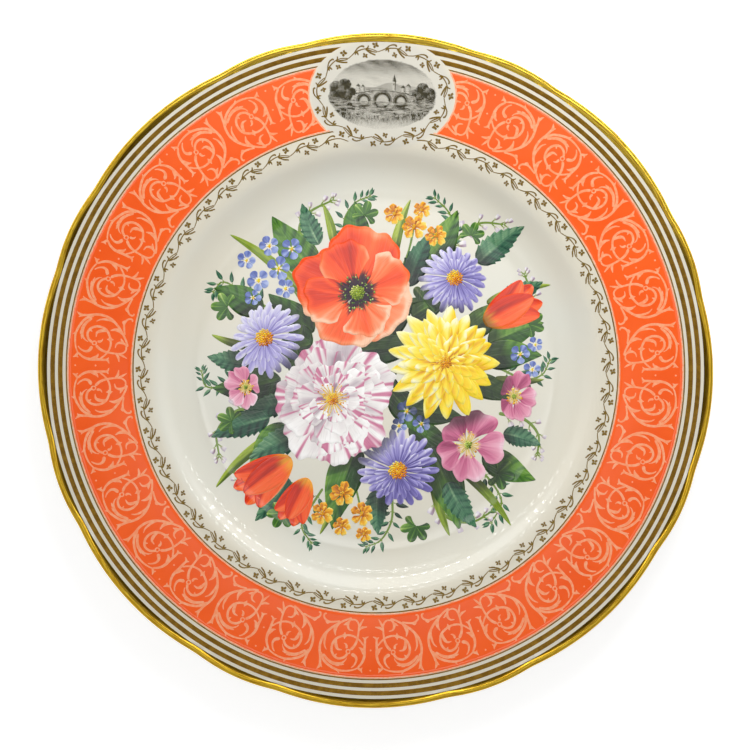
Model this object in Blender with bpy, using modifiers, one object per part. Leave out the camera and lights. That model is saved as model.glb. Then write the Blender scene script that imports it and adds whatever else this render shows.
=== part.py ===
"""Souvenir plate: a bone-china plate with a scalloped lip, a gilded edge and printed decoration.

Run it with blender --background --python part.py, or from Blender's text editor. Metres, +Z up. The origin
is the middle of the foot ring's underside, and the medallion lies towards +Y.

The body is one piece of china, turned as a jigger wheel turns it, and its lip is then pressed into lobes.
Everything else is a layer that is fired onto it: gold on the lip, gold and coral rings on the rim, and two
printed pictures. Each layer is drawn LAYER_WALL thick and lies LAYER_GAP off the china that carries it.
"""

import math

import bmesh
import bpy
from mathutils import Matrix

MM = 0.001

# Overall sizes, over the gold of the lip.
PLATE_DIAMETER = 270.0 * MM
PLATE_HEIGHT = 24.0 * MM

# The fired layers. Real ones are some hundredths of a millimetre thick.
LAYER_GAP = 0.3 * MM
LAYER_WALL = 0.2 * MM

# The face, from the middle outwards: a flat well, a curved verge, a rim and a narrow bead along the lip.
WELL_HEIGHT = 6.2 * MM
WELL_RADIUS = 78.0 * MM  # where the floor's line meets the verge's line, before the fillet
WELL_FILLET = 22.0 * MM
VERGE_RUN = 12.0 * MM
VERGE_RISE = 10.4 * MM
SHOULDER_FILLET = 9.0 * MM
RIM_DISH = 0.35 * MM  # how far the rim sags below a straight line
BEAD_WIDTH = 2.0 * MM
BEAD_RUN = 0.75 * MM  # the bead's inner slope, measured along the radius
BEAD_RISE = 0.8 * MM
BEAD_WALL = 2.6 * MM
BEAD_FILLET = 0.75 * MM
COVE_FILLET = 0.8 * MM

# The wall, measured square to the face.
FLOOR_WALL = 3.6 * MM
VERGE_WALL = 3.9 * MM
SHOULDER_WALL = 3.3 * MM
RIM_WALL = 2.7 * MM
BACK_FILLET = 14.0 * MM

# The foot ring under the well.
FOOT_INSET = 5.0 * MM  # from the verge's line in to the middle of the flat that the plate stands on
FOOT_FLAT = 2.6 * MM
FOOT_EDGE = 0.6 * MM
FOOT_LEAN = 0.9 * MM
FOOT_ROOT = 1.2 * MM
BASE_DOME = 0.4 * MM  # how far the middle of the base is lifted off the table's plane

# The lip's outline: wide and narrow lobes in turn, parted by notches. The lobes are pressed in the mould
# and the rings are printed later, so the first wide lobe lies a little beside the medallion's middle.
LOBE_PAIRS = 8
LOBE_TURN = math.radians(-1.0)
WIDE_LOBE_HALF = math.radians(15.0)
WIDE_LOBE_RISE = 1.05 * MM  # how far a wide lobe stands out from the notches beside it
NARROW_LOBE_RISE = 0.8 * MM
NOTCH_DROP = 0.35 * MM  # how far a notch lies below a wide lobe
LOBE_START = 0.4 * MM  # the pressing starts this far inside the gold of the lip
LOBE_FULL = 0.2 * MM  # and is whole this far inside the bead

# The rings on the rim, from the lip inwards.
GILT_WIDTH = 3.2 * MM
GILT_UNDER = 1.4 * MM  # how far the gold goes round under the lip
FIRST_WHITE = 1.25 * MM
GOLD_BAND = 1.85 * MM
WHITE_LINE = 1.2 * MM
GOLD_LINE = 0.55 * MM
CORAL_MARGIN = 0.65 * MM  # the pale line between the coral and a gold line
CORAL_WIDTH = 24.7 * MM

# The medallion, an oval window in the rings with a smaller oval picture in it.
WINDOW_HALF_WIDTH = 29.6 * MM
WINDOW_HALF_HEIGHT = 22.6 * MM
PICTURE_HALF_WIDTH = 21.5 * MM
PICTURE_HALF_HEIGHT = 14.0 * MM

# The round picture on the floor of the well.
CENTRE_PRINT_MARGIN = 1.3 * MM  # left bare between it and the start of the fillet

# Facets round the plate. A multiple of 48 puts an edge on every notch and on the middle of every lobe.
LIP_FACETS = 96
RING_FACETS = 72
OVAL_FACETS = 48
ARC_TOLERANCE = 0.16 * MM  # how far a fillet's facets may lie off its true arc
CUTTER_HEIGHT = 2 * PLATE_HEIGHT
SCREW_MERGE = 0.00001
SMOOTH_BELOW = math.radians(40.0)

# Sizes that follow from the ones above.
LAYER = LAYER_GAP + LAYER_WALL
LIP_RADIUS = PLATE_DIAMETER / 2 - LAYER
CREST_HEIGHT = PLATE_HEIGHT - LAYER
RIM_END_RADIUS = LIP_RADIUS - BEAD_WIDTH
RIM_END_HEIGHT = CREST_HEIGHT - BEAD_RISE
SHOULDER_RADIUS = WELL_RADIUS + VERGE_RUN
SHOULDER_HEIGHT = WELL_HEIGHT + VERGE_RISE
BASE_HEIGHT = WELL_HEIGHT - FLOOR_WALL
FOOT_RADIUS = WELL_RADIUS - FOOT_INSET
FLOOR_RADIUS = WELL_RADIUS - WELL_FILLET * math.tan(math.atan2(VERGE_RISE, VERGE_RUN) / 2)
CENTRE_PRINT_RADIUS = FLOOR_RADIUS - CENTRE_PRINT_MARGIN

COLOURS = {  # name: base colour, roughness, metallic
    "bone_china": ((0.80, 0.79, 0.73, 1.0), 0.08, 0.0),
    "bright_gold": ((0.80, 0.52, 0.07, 1.0), 0.15, 1.0),
    "dull_gold": ((0.22, 0.13, 0.03, 1.0), 0.30, 1.0),
    "coral_enamel": ((0.88, 0.13, 0.03, 1.0), 0.10, 0.0),
    "grey_print": ((0.20, 0.20, 0.17, 1.0), 0.12, 0.0),
    "flower_print": ((0.62, 0.55, 0.28, 1.0), 0.10, 0.0),
}


def clear_scene():
    for obj in list(bpy.data.objects):
        bpy.data.objects.remove(obj, do_unlink=True)


def new_collection(name):
    made = bpy.data.collections.new(name)
    bpy.context.scene.collection.children.link(made)
    return made


def material(name):
    """A Principled material with the layer's colour, roughness and metallic value."""
    if name in bpy.data.materials:
        return bpy.data.materials[name]
    colour, roughness, metallic = COLOURS[name]
    made = bpy.data.materials.new(name)
    made.use_nodes = True
    shader = made.node_tree.nodes["Principled BSDF"]
    shader.inputs["Base Color"].default_value = colour
    shader.inputs["Roughness"].default_value = roughness
    shader.inputs["Metallic"].default_value = metallic
    made.diffuse_color = colour
    return made


# Plane geometry: a section is a list of (radius, height) points.


def direction(start, end):
    run, rise = end[0] - start[0], end[1] - start[1]
    length = math.hypot(run, rise)
    return run / length, rise / length


def rounded(corners):
    """A polyline through corners (radius, height, fillet), each corner with a fillet replaced by an arc.

    A fillet is limited so that its two tangents leave room for its neighbours on the same walls.
    """
    points = [corners[0][:2]]
    for before, here, after in zip(corners, corners[1:], corners[2:]):
        r, z, fillet = here
        if not fillet:
            points.append((r, z))
            continue
        d_in, d_out = direction(before, here), direction(here, after)
        turn = math.atan2(d_in[0] * d_out[1] - d_in[1] * d_out[0], d_in[0] * d_out[0] + d_in[1] * d_out[1])
        half_turn = math.tan(abs(turn) / 2)
        tangent = min(fillet * half_turn, fillet_room(before, here), fillet_room(after, here))
        radius = tangent / half_turn
        side = math.copysign(1.0, turn)
        start = (r - d_in[0] * tangent, z - d_in[1] * tangent)
        centre = (start[0] - side * d_in[1] * radius, start[1] + side * d_in[0] * radius)
        first = math.atan2(start[1] - centre[1], start[0] - centre[0])
        steps = math.ceil(abs(turn) / (2 * math.acos(1 - ARC_TOLERANCE / max(radius, ARC_TOLERANCE))))
        for k in range(steps + 1):
            angle = first + turn * k / steps
            points.append((centre[0] + radius * math.cos(angle), centre[1] + radius * math.sin(angle)))
    points.append(corners[-1][:2])
    return points


def fillet_room(neighbour, corner):
    """How much of the wall to a neighbour a corner's fillet may take: half of it, if both are filleted."""
    return math.dist(neighbour[:2], corner[:2]) * (0.5 if neighbour[2] else 0.95)


def behind(before, here, after, wall):
    """The corner of the back face that lies one wall behind a corner of the front face."""
    d_in, d_out = direction(before, here), direction(here, after)
    normal = (d_in[1] + d_out[1], -(d_in[0] + d_out[0]))
    size = math.hypot(*normal)
    half_turn = math.acos(min(1.0, size / 2))
    reach = wall / math.cos(half_turn) / size
    return here[0] + normal[0] * reach, here[1] + normal[1] * reach


def rim_dish_points(count):
    """Points between the shoulder and the lip's bead, on a shallow hollow curve."""
    points = []
    for k in range(1, count + 1):
        t = k / (count + 1)
        r = SHOULDER_RADIUS + (RIM_END_RADIUS - SHOULDER_RADIUS) * t
        z = SHOULDER_HEIGHT + (RIM_END_HEIGHT - SHOULDER_HEIGHT) * t - 4 * RIM_DISH * t * (1 - t)
        points.append((r, z, 0))
    return points


def face_section():
    """The glazed face from the middle of the well to the outermost point of the lip."""
    corners = [
        (0.0, WELL_HEIGHT, 0),
        (WELL_RADIUS, WELL_HEIGHT, WELL_FILLET),
        (SHOULDER_RADIUS, SHOULDER_HEIGHT, SHOULDER_FILLET),
        *rim_dish_points(2),
        (RIM_END_RADIUS, RIM_END_HEIGHT, COVE_FILLET),
        (RIM_END_RADIUS + BEAD_RUN, CREST_HEIGHT, BEAD_FILLET),
        (LIP_RADIUS, CREST_HEIGHT, BEAD_FILLET),
        (LIP_RADIUS, CREST_HEIGHT - BEAD_WALL / 2, 0),
    ]
    return rounded(corners)


def back_section():
    """The back of the plate from the outermost point of the lip to the middle of the base."""
    floor = (0.0, WELL_HEIGHT)
    verge = (WELL_RADIUS, WELL_HEIGHT)
    shoulder = (SHOULDER_RADIUS, SHOULDER_HEIGHT)
    rim_end = (RIM_END_RADIUS, RIM_END_HEIGHT)
    under_shoulder = behind(verge, shoulder, rim_end, SHOULDER_WALL)
    under_verge = behind(floor, verge, shoulder, VERGE_WALL)
    flat_out = FOOT_RADIUS + FOOT_FLAT / 2 + FOOT_EDGE
    flat_in = FOOT_RADIUS - FOOT_FLAT / 2 - FOOT_EDGE
    corners = [
        (LIP_RADIUS, CREST_HEIGHT - BEAD_WALL / 2, 0),
        (LIP_RADIUS, CREST_HEIGHT - BEAD_WALL, BEAD_FILLET),
        (RIM_END_RADIUS, RIM_END_HEIGHT - RIM_WALL, 0),
        (*under_shoulder, BACK_FILLET),
        (*under_verge, BACK_FILLET),
        (flat_out + FOOT_LEAN, BASE_HEIGHT, FOOT_ROOT),
        (flat_out, 0.0, FOOT_EDGE),
        (flat_in, 0.0, FOOT_EDGE),
        (flat_in - FOOT_LEAN, BASE_HEIGHT, FOOT_ROOT),
        (0.0, BASE_HEIGHT + BASE_DOME, 0),
    ]
    return rounded(corners)


def point_at(section, radius):
    """The point where an outward-running section passes a radius."""
    for a, b in zip(section, section[1:]):
        if a[0] <= radius < b[0]:
            t = (radius - a[0]) / (b[0] - a[0])
            return radius, a[1] + (b[1] - a[1]) * t
    raise ValueError("the section never passes this radius")


def between(section, inner, outer):
    """The stretch of an outward-running section from one radius to another."""
    inside = [p for p in section if inner < p[0] < outer]
    return [point_at(section, inner), *inside, point_at(section, outer)]


def offset(line, distance):
    """The line moved square to itself, to its left as it runs: off the face, for one that runs outwards."""
    moved = []
    for i, (r, z) in enumerate(line):
        d_in = direction(line[i - 1], line[i]) if i else direction(line[0], line[1])
        d_out = direction(line[i], line[i + 1]) if i < len(line) - 1 else d_in
        normal = (-(d_in[1] + d_out[1]), d_in[0] + d_out[0])
        size = math.hypot(*normal)
        reach = distance * 2 / (size * size)
        moved.append((r + normal[0] * reach, z + normal[1] * reach))
    return moved


def layer_section(line):
    """The closed section of a fired layer that lies along a line of the china."""
    lower = offset(line, LAYER_GAP)
    upper = offset(line, LAYER)
    return upper + lower[::-1]


def gilt_line():
    """The china's surface under the gold of the lip: the bead's face, its edge and the start of the back."""
    face, back = face_section(), back_section()
    first, last = LIP_RADIUS - GILT_WIDTH, LIP_RADIUS - GILT_UNDER
    on_face = [p for p in face if p[0] > first]
    on_back = [p for p in back[1:] if p[0] > last]
    return [point_at(face, first), *on_face, *on_back, point_at(back[::-1], last)]


# The lip's lobes.


def lip_inset(angle):
    """How far the lip lies inside a wide lobe's tip, as a length, and the same as a share of a notch."""
    pitch = 2 * math.pi / LOBE_PAIRS
    narrow_half = pitch / 2 - WIDE_LOBE_HALF
    from_wide = abs((angle + pitch / 2) % pitch - pitch / 2)
    if from_wide <= WIDE_LOBE_HALF:
        inset = WIDE_LOBE_RISE * (from_wide / WIDE_LOBE_HALF) ** 2
    else:
        from_narrow = (pitch / 2 - from_wide) / narrow_half
        inset = WIDE_LOBE_RISE - NARROW_LOBE_RISE * (1 - from_narrow**2)
    return inset, inset / WIDE_LOBE_RISE


def press_lobes(mesh):
    """Moves the bead in and down at its notches. The rim inside it stays round."""
    first = LIP_RADIUS - GILT_WIDTH - LOBE_START
    full = RIM_END_RADIUS - LOBE_FULL
    for vertex in mesh.vertices:
        x, y, z = vertex.co
        radius = math.hypot(x, y)
        weight = min(1.0, max(0.0, (radius - first) / (full - first)))
        inset, share = lip_inset(math.atan2(y, x))
        scale = (radius - inset * weight) / radius if weight else 1.0
        vertex.co = (x * scale, y * scale, z - NOTCH_DROP * share * weight)
    mesh.transform(Matrix.Rotation(LOBE_TURN, 4, "Z"))


# Objects.


def profile_mesh(name, section, closed):
    """A mesh of edges alone: the section, in the XZ plane at +X."""
    mesh = bpy.data.meshes.new(name)
    count = len(section)
    edges = [(i, i + 1) for i in range(count - 1)]
    if closed:
        edges.append((count - 1, 0))
    mesh.from_pydata([(r, 0.0, z) for r, z in section], edges, [])
    return mesh


def turned(name, section, facets, surface, collection, closed=True):
    """A solid of revolution: the section turned about Z by a Screw modifier.

    A section that starts and ends on the axis is left open there, and the turning closes it.
    """
    obj = bpy.data.objects.new(name, profile_mesh(name, section, closed))
    collection.objects.link(obj)
    obj.data.materials.append(material(surface))
    screw = obj.modifiers.new("turn", "SCREW")
    screw.axis = "Z"
    screw.angle = 2 * math.pi
    screw.steps = screw.render_steps = facets
    screw.use_merge_vertices = True
    screw.merge_threshold = SCREW_MERGE
    screw.use_smooth_shade = True
    return obj


def bake_modifiers(obj):
    """Replaces the object's mesh by what its modifiers make of it, so that its points can be moved."""
    graph = bpy.context.evaluated_depsgraph_get()
    mesh = bpy.data.meshes.new_from_object(obj.evaluated_get(graph))
    old = obj.data
    obj.modifiers.clear()
    obj.data = mesh
    mesh.name = obj.name
    bpy.data.meshes.remove(old)
    mesh.shade_smooth()
    mesh.set_sharp_from_angle(angle=SMOOTH_BELOW)
    return obj


def oval_cutter(name, half_width, half_height, radius, cutters):
    """An upright oval prism over the rim, to cut rings with or to trim a picture to."""
    curve = bpy.data.curves.new(name, "CURVE")
    curve.dimensions = "2D"
    curve.fill_mode = "BOTH"
    curve.extrude = CUTTER_HEIGHT / 2
    spline = curve.splines.new("POLY")
    spline.points.add(OVAL_FACETS - 1)
    for k, point in enumerate(spline.points):
        angle = 2 * math.pi * k / OVAL_FACETS
        point.co = (half_width * math.cos(angle), half_height * math.sin(angle), 0.0, 1.0)
    spline.use_cyclic_u = True
    outline = bpy.data.objects.new(name + "_outline", curve)
    cutters.objects.link(outline)
    outline.location = (0.0, radius, 0.0)
    bpy.context.view_layer.update()
    graph = bpy.context.evaluated_depsgraph_get()
    mesh = bpy.data.meshes.new_from_object(outline.evaluated_get(graph))
    weld_caps(mesh)
    cutter = bpy.data.objects.new(name, mesh)
    cutter.matrix_world = outline.matrix_world
    cutters.objects.link(cutter)
    bpy.data.objects.remove(outline, do_unlink=True)
    cutter.hide_render = True
    cutter.display_type = "WIRE"
    return cutter


def weld_caps(mesh):
    """Joins a curve's loose caps to its sides."""
    work = bmesh.new()
    work.from_mesh(mesh)
    bmesh.ops.remove_doubles(work, verts=work.verts, dist=SCREW_MERGE)
    bmesh.ops.recalc_face_normals(work, faces=work.faces)
    work.to_mesh(mesh)
    work.free()


def boolean(obj, cutter, operation):
    modifier = obj.modifiers.new(cutter.name, "BOOLEAN")
    modifier.operation = operation
    modifier.solver = "EXACT"
    modifier.object = cutter
    return obj


def ring_places():
    """(name, inner radius, outer radius, surface) of each ring on the rim, worked inwards from the lip."""
    rings = []
    edge = LIP_RADIUS - GILT_WIDTH - FIRST_WHITE
    for name, width, surface, margin in (
        ("outer_gold_band", GOLD_BAND, "dull_gold", WHITE_LINE),
        ("inner_gold_band", GOLD_BAND, "dull_gold", WHITE_LINE),
        ("outer_gold_line", GOLD_LINE, "dull_gold", CORAL_MARGIN),
        ("coral_border", CORAL_WIDTH, "coral_enamel", CORAL_MARGIN),
        ("inner_gold_line", GOLD_LINE, "dull_gold", 0.0),
    ):
        rings.append((name, edge - width, edge, surface))
        edge -= width + margin
    return rings


def make_body(parts):
    section = face_section() + back_section()[1:]
    body = turned("china_body", section, LIP_FACETS, "bone_china", parts, closed=False)
    bake_modifiers(body)
    press_lobes(body.data)
    return body


def make_gilt_edge(parts):
    gilt = turned("gilt_edge", layer_section(gilt_line()), LIP_FACETS, "bright_gold", parts)
    bake_modifiers(gilt)
    press_lobes(gilt.data)
    return gilt


def make_rings(window, parts):
    face = face_section()
    made = []
    for name, inner, outer, surface in ring_places():
        section = layer_section(between(face, inner, outer))
        ring = turned(name, section, RING_FACETS, surface, parts)
        made.append(boolean(ring, window, "DIFFERENCE"))
    return made


def make_medallion_print(picture, radius, parts):
    """The oval picture: a ring of the rim's own shape, trimmed to the oval."""
    reach = PICTURE_HALF_HEIGHT * 1.2
    line = between(face_section(), radius - reach, radius + reach)
    band = turned("medallion_print", layer_section(line), RING_FACETS, "grey_print", parts)
    return boolean(band, picture, "INTERSECT")


def make_centre_print(parts):
    """The round flower picture on the floor of the well."""
    line = between(face_section(), 0.0, CENTRE_PRINT_RADIUS)
    section = layer_section(line)
    return turned("centre_print", section, RING_FACETS, "flower_print", parts, closed=False)


def main():
    clear_scene()
    parts = new_collection("souvenir_plate")
    cutters = new_collection("cutters")
    coral = next(ring for ring in ring_places() if ring[0] == "coral_border")
    medallion_radius = (coral[1] + coral[2]) / 2
    window = oval_cutter("medallion_window", WINDOW_HALF_WIDTH, WINDOW_HALF_HEIGHT, medallion_radius, cutters)
    picture = oval_cutter("medallion_oval", PICTURE_HALF_WIDTH, PICTURE_HALF_HEIGHT, medallion_radius, cutters)
    body = make_body(parts)
    layers = [
        make_gilt_edge(parts),
        *make_rings(window, parts),
        make_medallion_print(picture, medallion_radius, parts),
        make_centre_print(parts),
    ]
    for layer in layers:
        layer.parent = body


main()
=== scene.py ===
"""Looks of the souvenir plate: its glaze, its gilding, its enamels and its printed flowers.

Plan places are in millimetres from the plate's axis, with +Y towards the medallion. A clock angle runs
clockwise from +Y as seen from above. Whatever is printed or painted is drawn in plan and then laid on the
china's face, whose height at any radius is face_height(radius).
"""

import cmath
import math

import bmesh
import bpy
import numpy as np
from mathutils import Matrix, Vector


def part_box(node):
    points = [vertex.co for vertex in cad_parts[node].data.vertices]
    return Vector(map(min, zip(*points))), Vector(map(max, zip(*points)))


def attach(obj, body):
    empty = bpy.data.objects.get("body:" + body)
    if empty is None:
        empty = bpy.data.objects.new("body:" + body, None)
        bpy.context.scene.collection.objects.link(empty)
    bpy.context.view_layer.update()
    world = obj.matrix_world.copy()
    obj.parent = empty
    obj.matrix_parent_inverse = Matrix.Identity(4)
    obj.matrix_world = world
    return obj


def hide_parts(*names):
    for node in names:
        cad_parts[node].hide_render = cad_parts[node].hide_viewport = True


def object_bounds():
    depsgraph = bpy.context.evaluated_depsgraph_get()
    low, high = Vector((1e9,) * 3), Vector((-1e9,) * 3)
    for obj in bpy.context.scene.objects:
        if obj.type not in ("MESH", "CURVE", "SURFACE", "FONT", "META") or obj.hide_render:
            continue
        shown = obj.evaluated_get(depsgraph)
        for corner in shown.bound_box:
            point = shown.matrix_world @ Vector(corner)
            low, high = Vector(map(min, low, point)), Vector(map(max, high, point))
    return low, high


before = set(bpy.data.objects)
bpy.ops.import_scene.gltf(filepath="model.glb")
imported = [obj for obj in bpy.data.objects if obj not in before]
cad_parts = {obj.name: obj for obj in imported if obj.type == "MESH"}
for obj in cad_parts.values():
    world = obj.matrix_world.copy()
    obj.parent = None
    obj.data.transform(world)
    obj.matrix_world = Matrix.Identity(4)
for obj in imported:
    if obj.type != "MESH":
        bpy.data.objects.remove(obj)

CAD_BOX = [list(corner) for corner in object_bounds()]
MM = 0.001
TURN = 2 * math.pi

# Thicknesses in mm. A fired layer stands proud of the glaze, and its edges are sunk a little way into it.
FILM = 0.03
SINK = 0.01
BOX_ROOM = 0.03  # left between the looks and the CAD box
WELD_DISTANCE = 1e-7  # in metres

# The china's face and back in mm: the face lies where the tops of the CAD layers lie.
LIP_RADIUS = CAD_BOX[1][0] / MM - FILM - BOX_ROOM
CREST_HEIGHT = CAD_BOX[1][2] / MM - FILM - BOX_ROOM
FLOOR_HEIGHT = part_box("centre_print")[1].z / MM - FILM
VERGE_FOOT = 77.83
WELL_FILLET = 22.5
SHOULDER_RADIUS, SHOULDER_HEIGHT, SHOULDER_FILLET = 89.8, 17.05, 13.0
BEAD_FOOT, BEAD_FOOT_HEIGHT, COVE_FILLET = 132.4, 23.12, 0.9
BEAD_RUN, BEAD_FILLET, INNER_BEAD_FILLET = 0.8, 0.95, 0.76
LIP_WALL = 2.95
RIM_DISH = 0.35
BACK_RIM = (132.5, 20.0)
BACK_SHOULDER = (91.43, 13.47, 14.0)
BACK_VERGE = (79.46, 2.3, 14.0)
FOOT_OUTER, FOOT_INNER, FOOT_LEAN = 74.9, 71.1, 0.9
FOOT_EDGE, FOOT_ROOT = 0.7, 1.2
BASE_HEIGHT, BASE_DOME = 2.6, 0.4

# The lip's lobes.
LOBE_PAIRS = 8
LOBE_TURN = math.radians(1.0)  # clockwise from the medallion's axis
WIDE_LOBE_HALF = math.radians(15.0)
WIDE_LOBE_RISE, NARROW_LOBE_RISE, NOTCH_DROP = 1.15, 0.9, 0.35
NOTCH_SOFTNESS = 0.22
LOBE_START = 131.3  # pressing starts here on the face, and is whole at the bead's foot
BACK_LOBE_START = 128.0

GILT_INNER = BEAD_FOOT - 1.16  # the gilding takes in a flat edge inside the bead
GILT_UNDER_END = 133.1  # and ends here under the lip
FLAT_GILT = BEAD_FOOT - GILT_INNER
BEAD_SHADE = 1.0  # how much of the bead's inner flank takes the flat edge's painted shade at a lobe's tip
GRAIN_RADIUS = 8.0  # of the circle that stands for the lip in its streaks' pattern

ROUND_STEPS = 480  # facets round the plate
ARC_STEP = math.radians(6)  # the most that one facet of a fillet turns
FACE_STEP, BACK_STEP, GILT_STEP = 2.5, 4.0, 0.12  # the longest stretch of each section, in mm


def linear(colour):
    """Linear colours with an alpha of 1 from sRGB ones of 0 to 255: ((c + 0.055) / 1.055)^2.4."""
    share = np.asarray(colour, float) / 255
    light = np.where(share <= 0.04045, share / 12.92, ((share + 0.055) / 1.055) ** 2.4)
    return np.concatenate([light, np.ones((*light.shape[:-1], 1))], -1)


def srgb(red, green, blue):
    """One sRGB colour of 0 to 255 as a linear one, in the form that a socket takes."""
    return linear([red, green, blue]).tolist()


# ---------------------------------------------------------------- the face


def rounded(corners):
    """A line through corners (r, z, fillet), with an arc tangent to both walls in a corner's place.

    Places are reckoned as complex numbers r + iz. The arc's middle lies one fillet from where the arc starts,
    square to the wall, and the arc swings round it by the angle that the line turns.
    """
    line = [[complex(*corners[0][:2])]]
    for before, here, after in zip(corners, corners[1:], corners[2:]):
        corner, fillet = complex(*here[:2]), here[2]
        wall_in, wall_out = corner - complex(*before[:2]), complex(*after[:2]) - corner
        wall_in /= abs(wall_in)
        turn = cmath.phase(wall_out / wall_in)
        start = corner - wall_in * fillet * math.tan(abs(turn) / 2)
        spoke = -1j * wall_in * math.copysign(fillet, turn)
        steps = max(2, math.ceil(abs(turn) / ARC_STEP)) if fillet else 0
        line.append(start - spoke + spoke * np.exp(1j * turn * np.linspace(0, 1, steps + 1)))
    line = np.concatenate([*line, [complex(*corners[-1][:2])]])
    return np.stack([line.real, line.imag], -1)


def filled(line, longest):
    """The same line with more points, so that none of its stretches is longer than a given length."""
    points = [line[:1]]
    for start, end in zip(line, line[1:]):
        steps = max(1, math.ceil(math.dist(start, end) / longest))
        points.append(np.linspace(start, end, steps + 1)[1:])
    return np.concatenate(points)


def face_section():
    """(radius, height) from the well's middle to the lip's outermost line, the rim dished by a parabola."""
    line = filled(rounded([
        (0.0, FLOOR_HEIGHT, 0),
        (VERGE_FOOT, FLOOR_HEIGHT, WELL_FILLET),
        (SHOULDER_RADIUS, SHOULDER_HEIGHT, SHOULDER_FILLET),
        (BEAD_FOOT, BEAD_FOOT_HEIGHT, COVE_FILLET),
        (BEAD_FOOT + BEAD_RUN, CREST_HEIGHT, INNER_BEAD_FILLET),
        (LIP_RADIUS, CREST_HEIGHT, BEAD_FILLET),
        (LIP_RADIUS, CREST_HEIGHT - LIP_WALL / 2, 0),
    ]), FACE_STEP)
    rim = np.clip((line[:, 0] - SHOULDER_RADIUS) / (BEAD_FOOT - SHOULDER_RADIUS), 0, 1)
    line[:, 1] -= 4 * RIM_DISH * rim * (1 - rim)
    return line


def back_section():
    """(radius, height) from below the lip's outermost line, over the foot ring, to the base's middle."""
    line = filled(rounded([
        (LIP_RADIUS, CREST_HEIGHT - LIP_WALL / 2, 0),
        (LIP_RADIUS, CREST_HEIGHT - LIP_WALL, INNER_BEAD_FILLET),
        (*BACK_RIM, 0),
        BACK_SHOULDER,
        BACK_VERGE,
        (FOOT_OUTER + FOOT_LEAN, BASE_HEIGHT, FOOT_ROOT),
        (FOOT_OUTER, 0.0, FOOT_EDGE),
        (FOOT_INNER, 0.0, FOOT_EDGE),
        (FOOT_INNER - FOOT_LEAN, BASE_HEIGHT, FOOT_ROOT),
        (0.0, BASE_HEIGHT + BASE_DOME, 0),
    ]), BACK_STEP)
    return line[1:]


FACE, BACK = face_section(), back_section()


def face_height(radius):
    """The glaze's height at a radius inside the bead, read from the face's line."""
    return np.interp(radius, FACE[:, 0], FACE[:, 1])


def lip_inset(angle):
    """How far the lip lies inside a wide lobe's tip at a clock angle, and that as a share of a lobe's rise.

    Each lobe is a parabola in the angle from its own middle: inset = rise times (angle / half width) squared.
    The inset is the lesser of the two, rounded where they meet: -s ln(e^(-wide / s) + e^(-narrow / s)).
    """
    pitch = TURN / LOBE_PAIRS
    narrow_half = pitch / 2 - WIDE_LOBE_HALF
    from_wide = np.abs((angle - LOBE_TURN + pitch / 2) % pitch - pitch / 2)
    from_narrow = pitch / 2 - from_wide
    wide = WIDE_LOBE_RISE * (from_wide / WIDE_LOBE_HALF) ** 2
    narrow = WIDE_LOBE_RISE - NARROW_LOBE_RISE * (1 - (from_narrow / narrow_half) ** 2)
    inset = -NOTCH_SOFTNESS * np.logaddexp(-wide / NOTCH_SOFTNESS, -narrow / NOTCH_SOFTNESS)
    inset = np.maximum(inset, 0)
    return inset, inset / WIDE_LOBE_RISE


def turned(section, weight, angles):
    """The section turned round the axis: x = r sin a, y = r cos a, with the lobes pressed in by their weight.

    r loses the lip's inset times the weight, and z loses the notch's drop times the same.
    """
    inset, share = lip_inset(angles)
    radius = section[:, :1] - inset * weight[:, None]
    height = section[:, 1:] - NOTCH_DROP * share * weight[:, None]
    return np.stack([radius * np.sin(angles), radius * np.cos(angles), height], -1)


def face_weight(radius):
    """How much a point of the face is pressed: 0 inside LOBE_START, and evenly up to 1 at the bead's foot."""
    return np.clip((radius - LOBE_START) / (BEAD_FOOT - LOBE_START), 0, 1)


def back_weight(radius):
    """How much a point of the back is pressed: 0 inside BACK_LOBE_START, and evenly up to 1 under the lip."""
    return np.clip((radius - BACK_LOBE_START) / (BACK_RIM[0] - BACK_LOBE_START), 0, 1)


# ---------------------------------------------------------------- pieces


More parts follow.
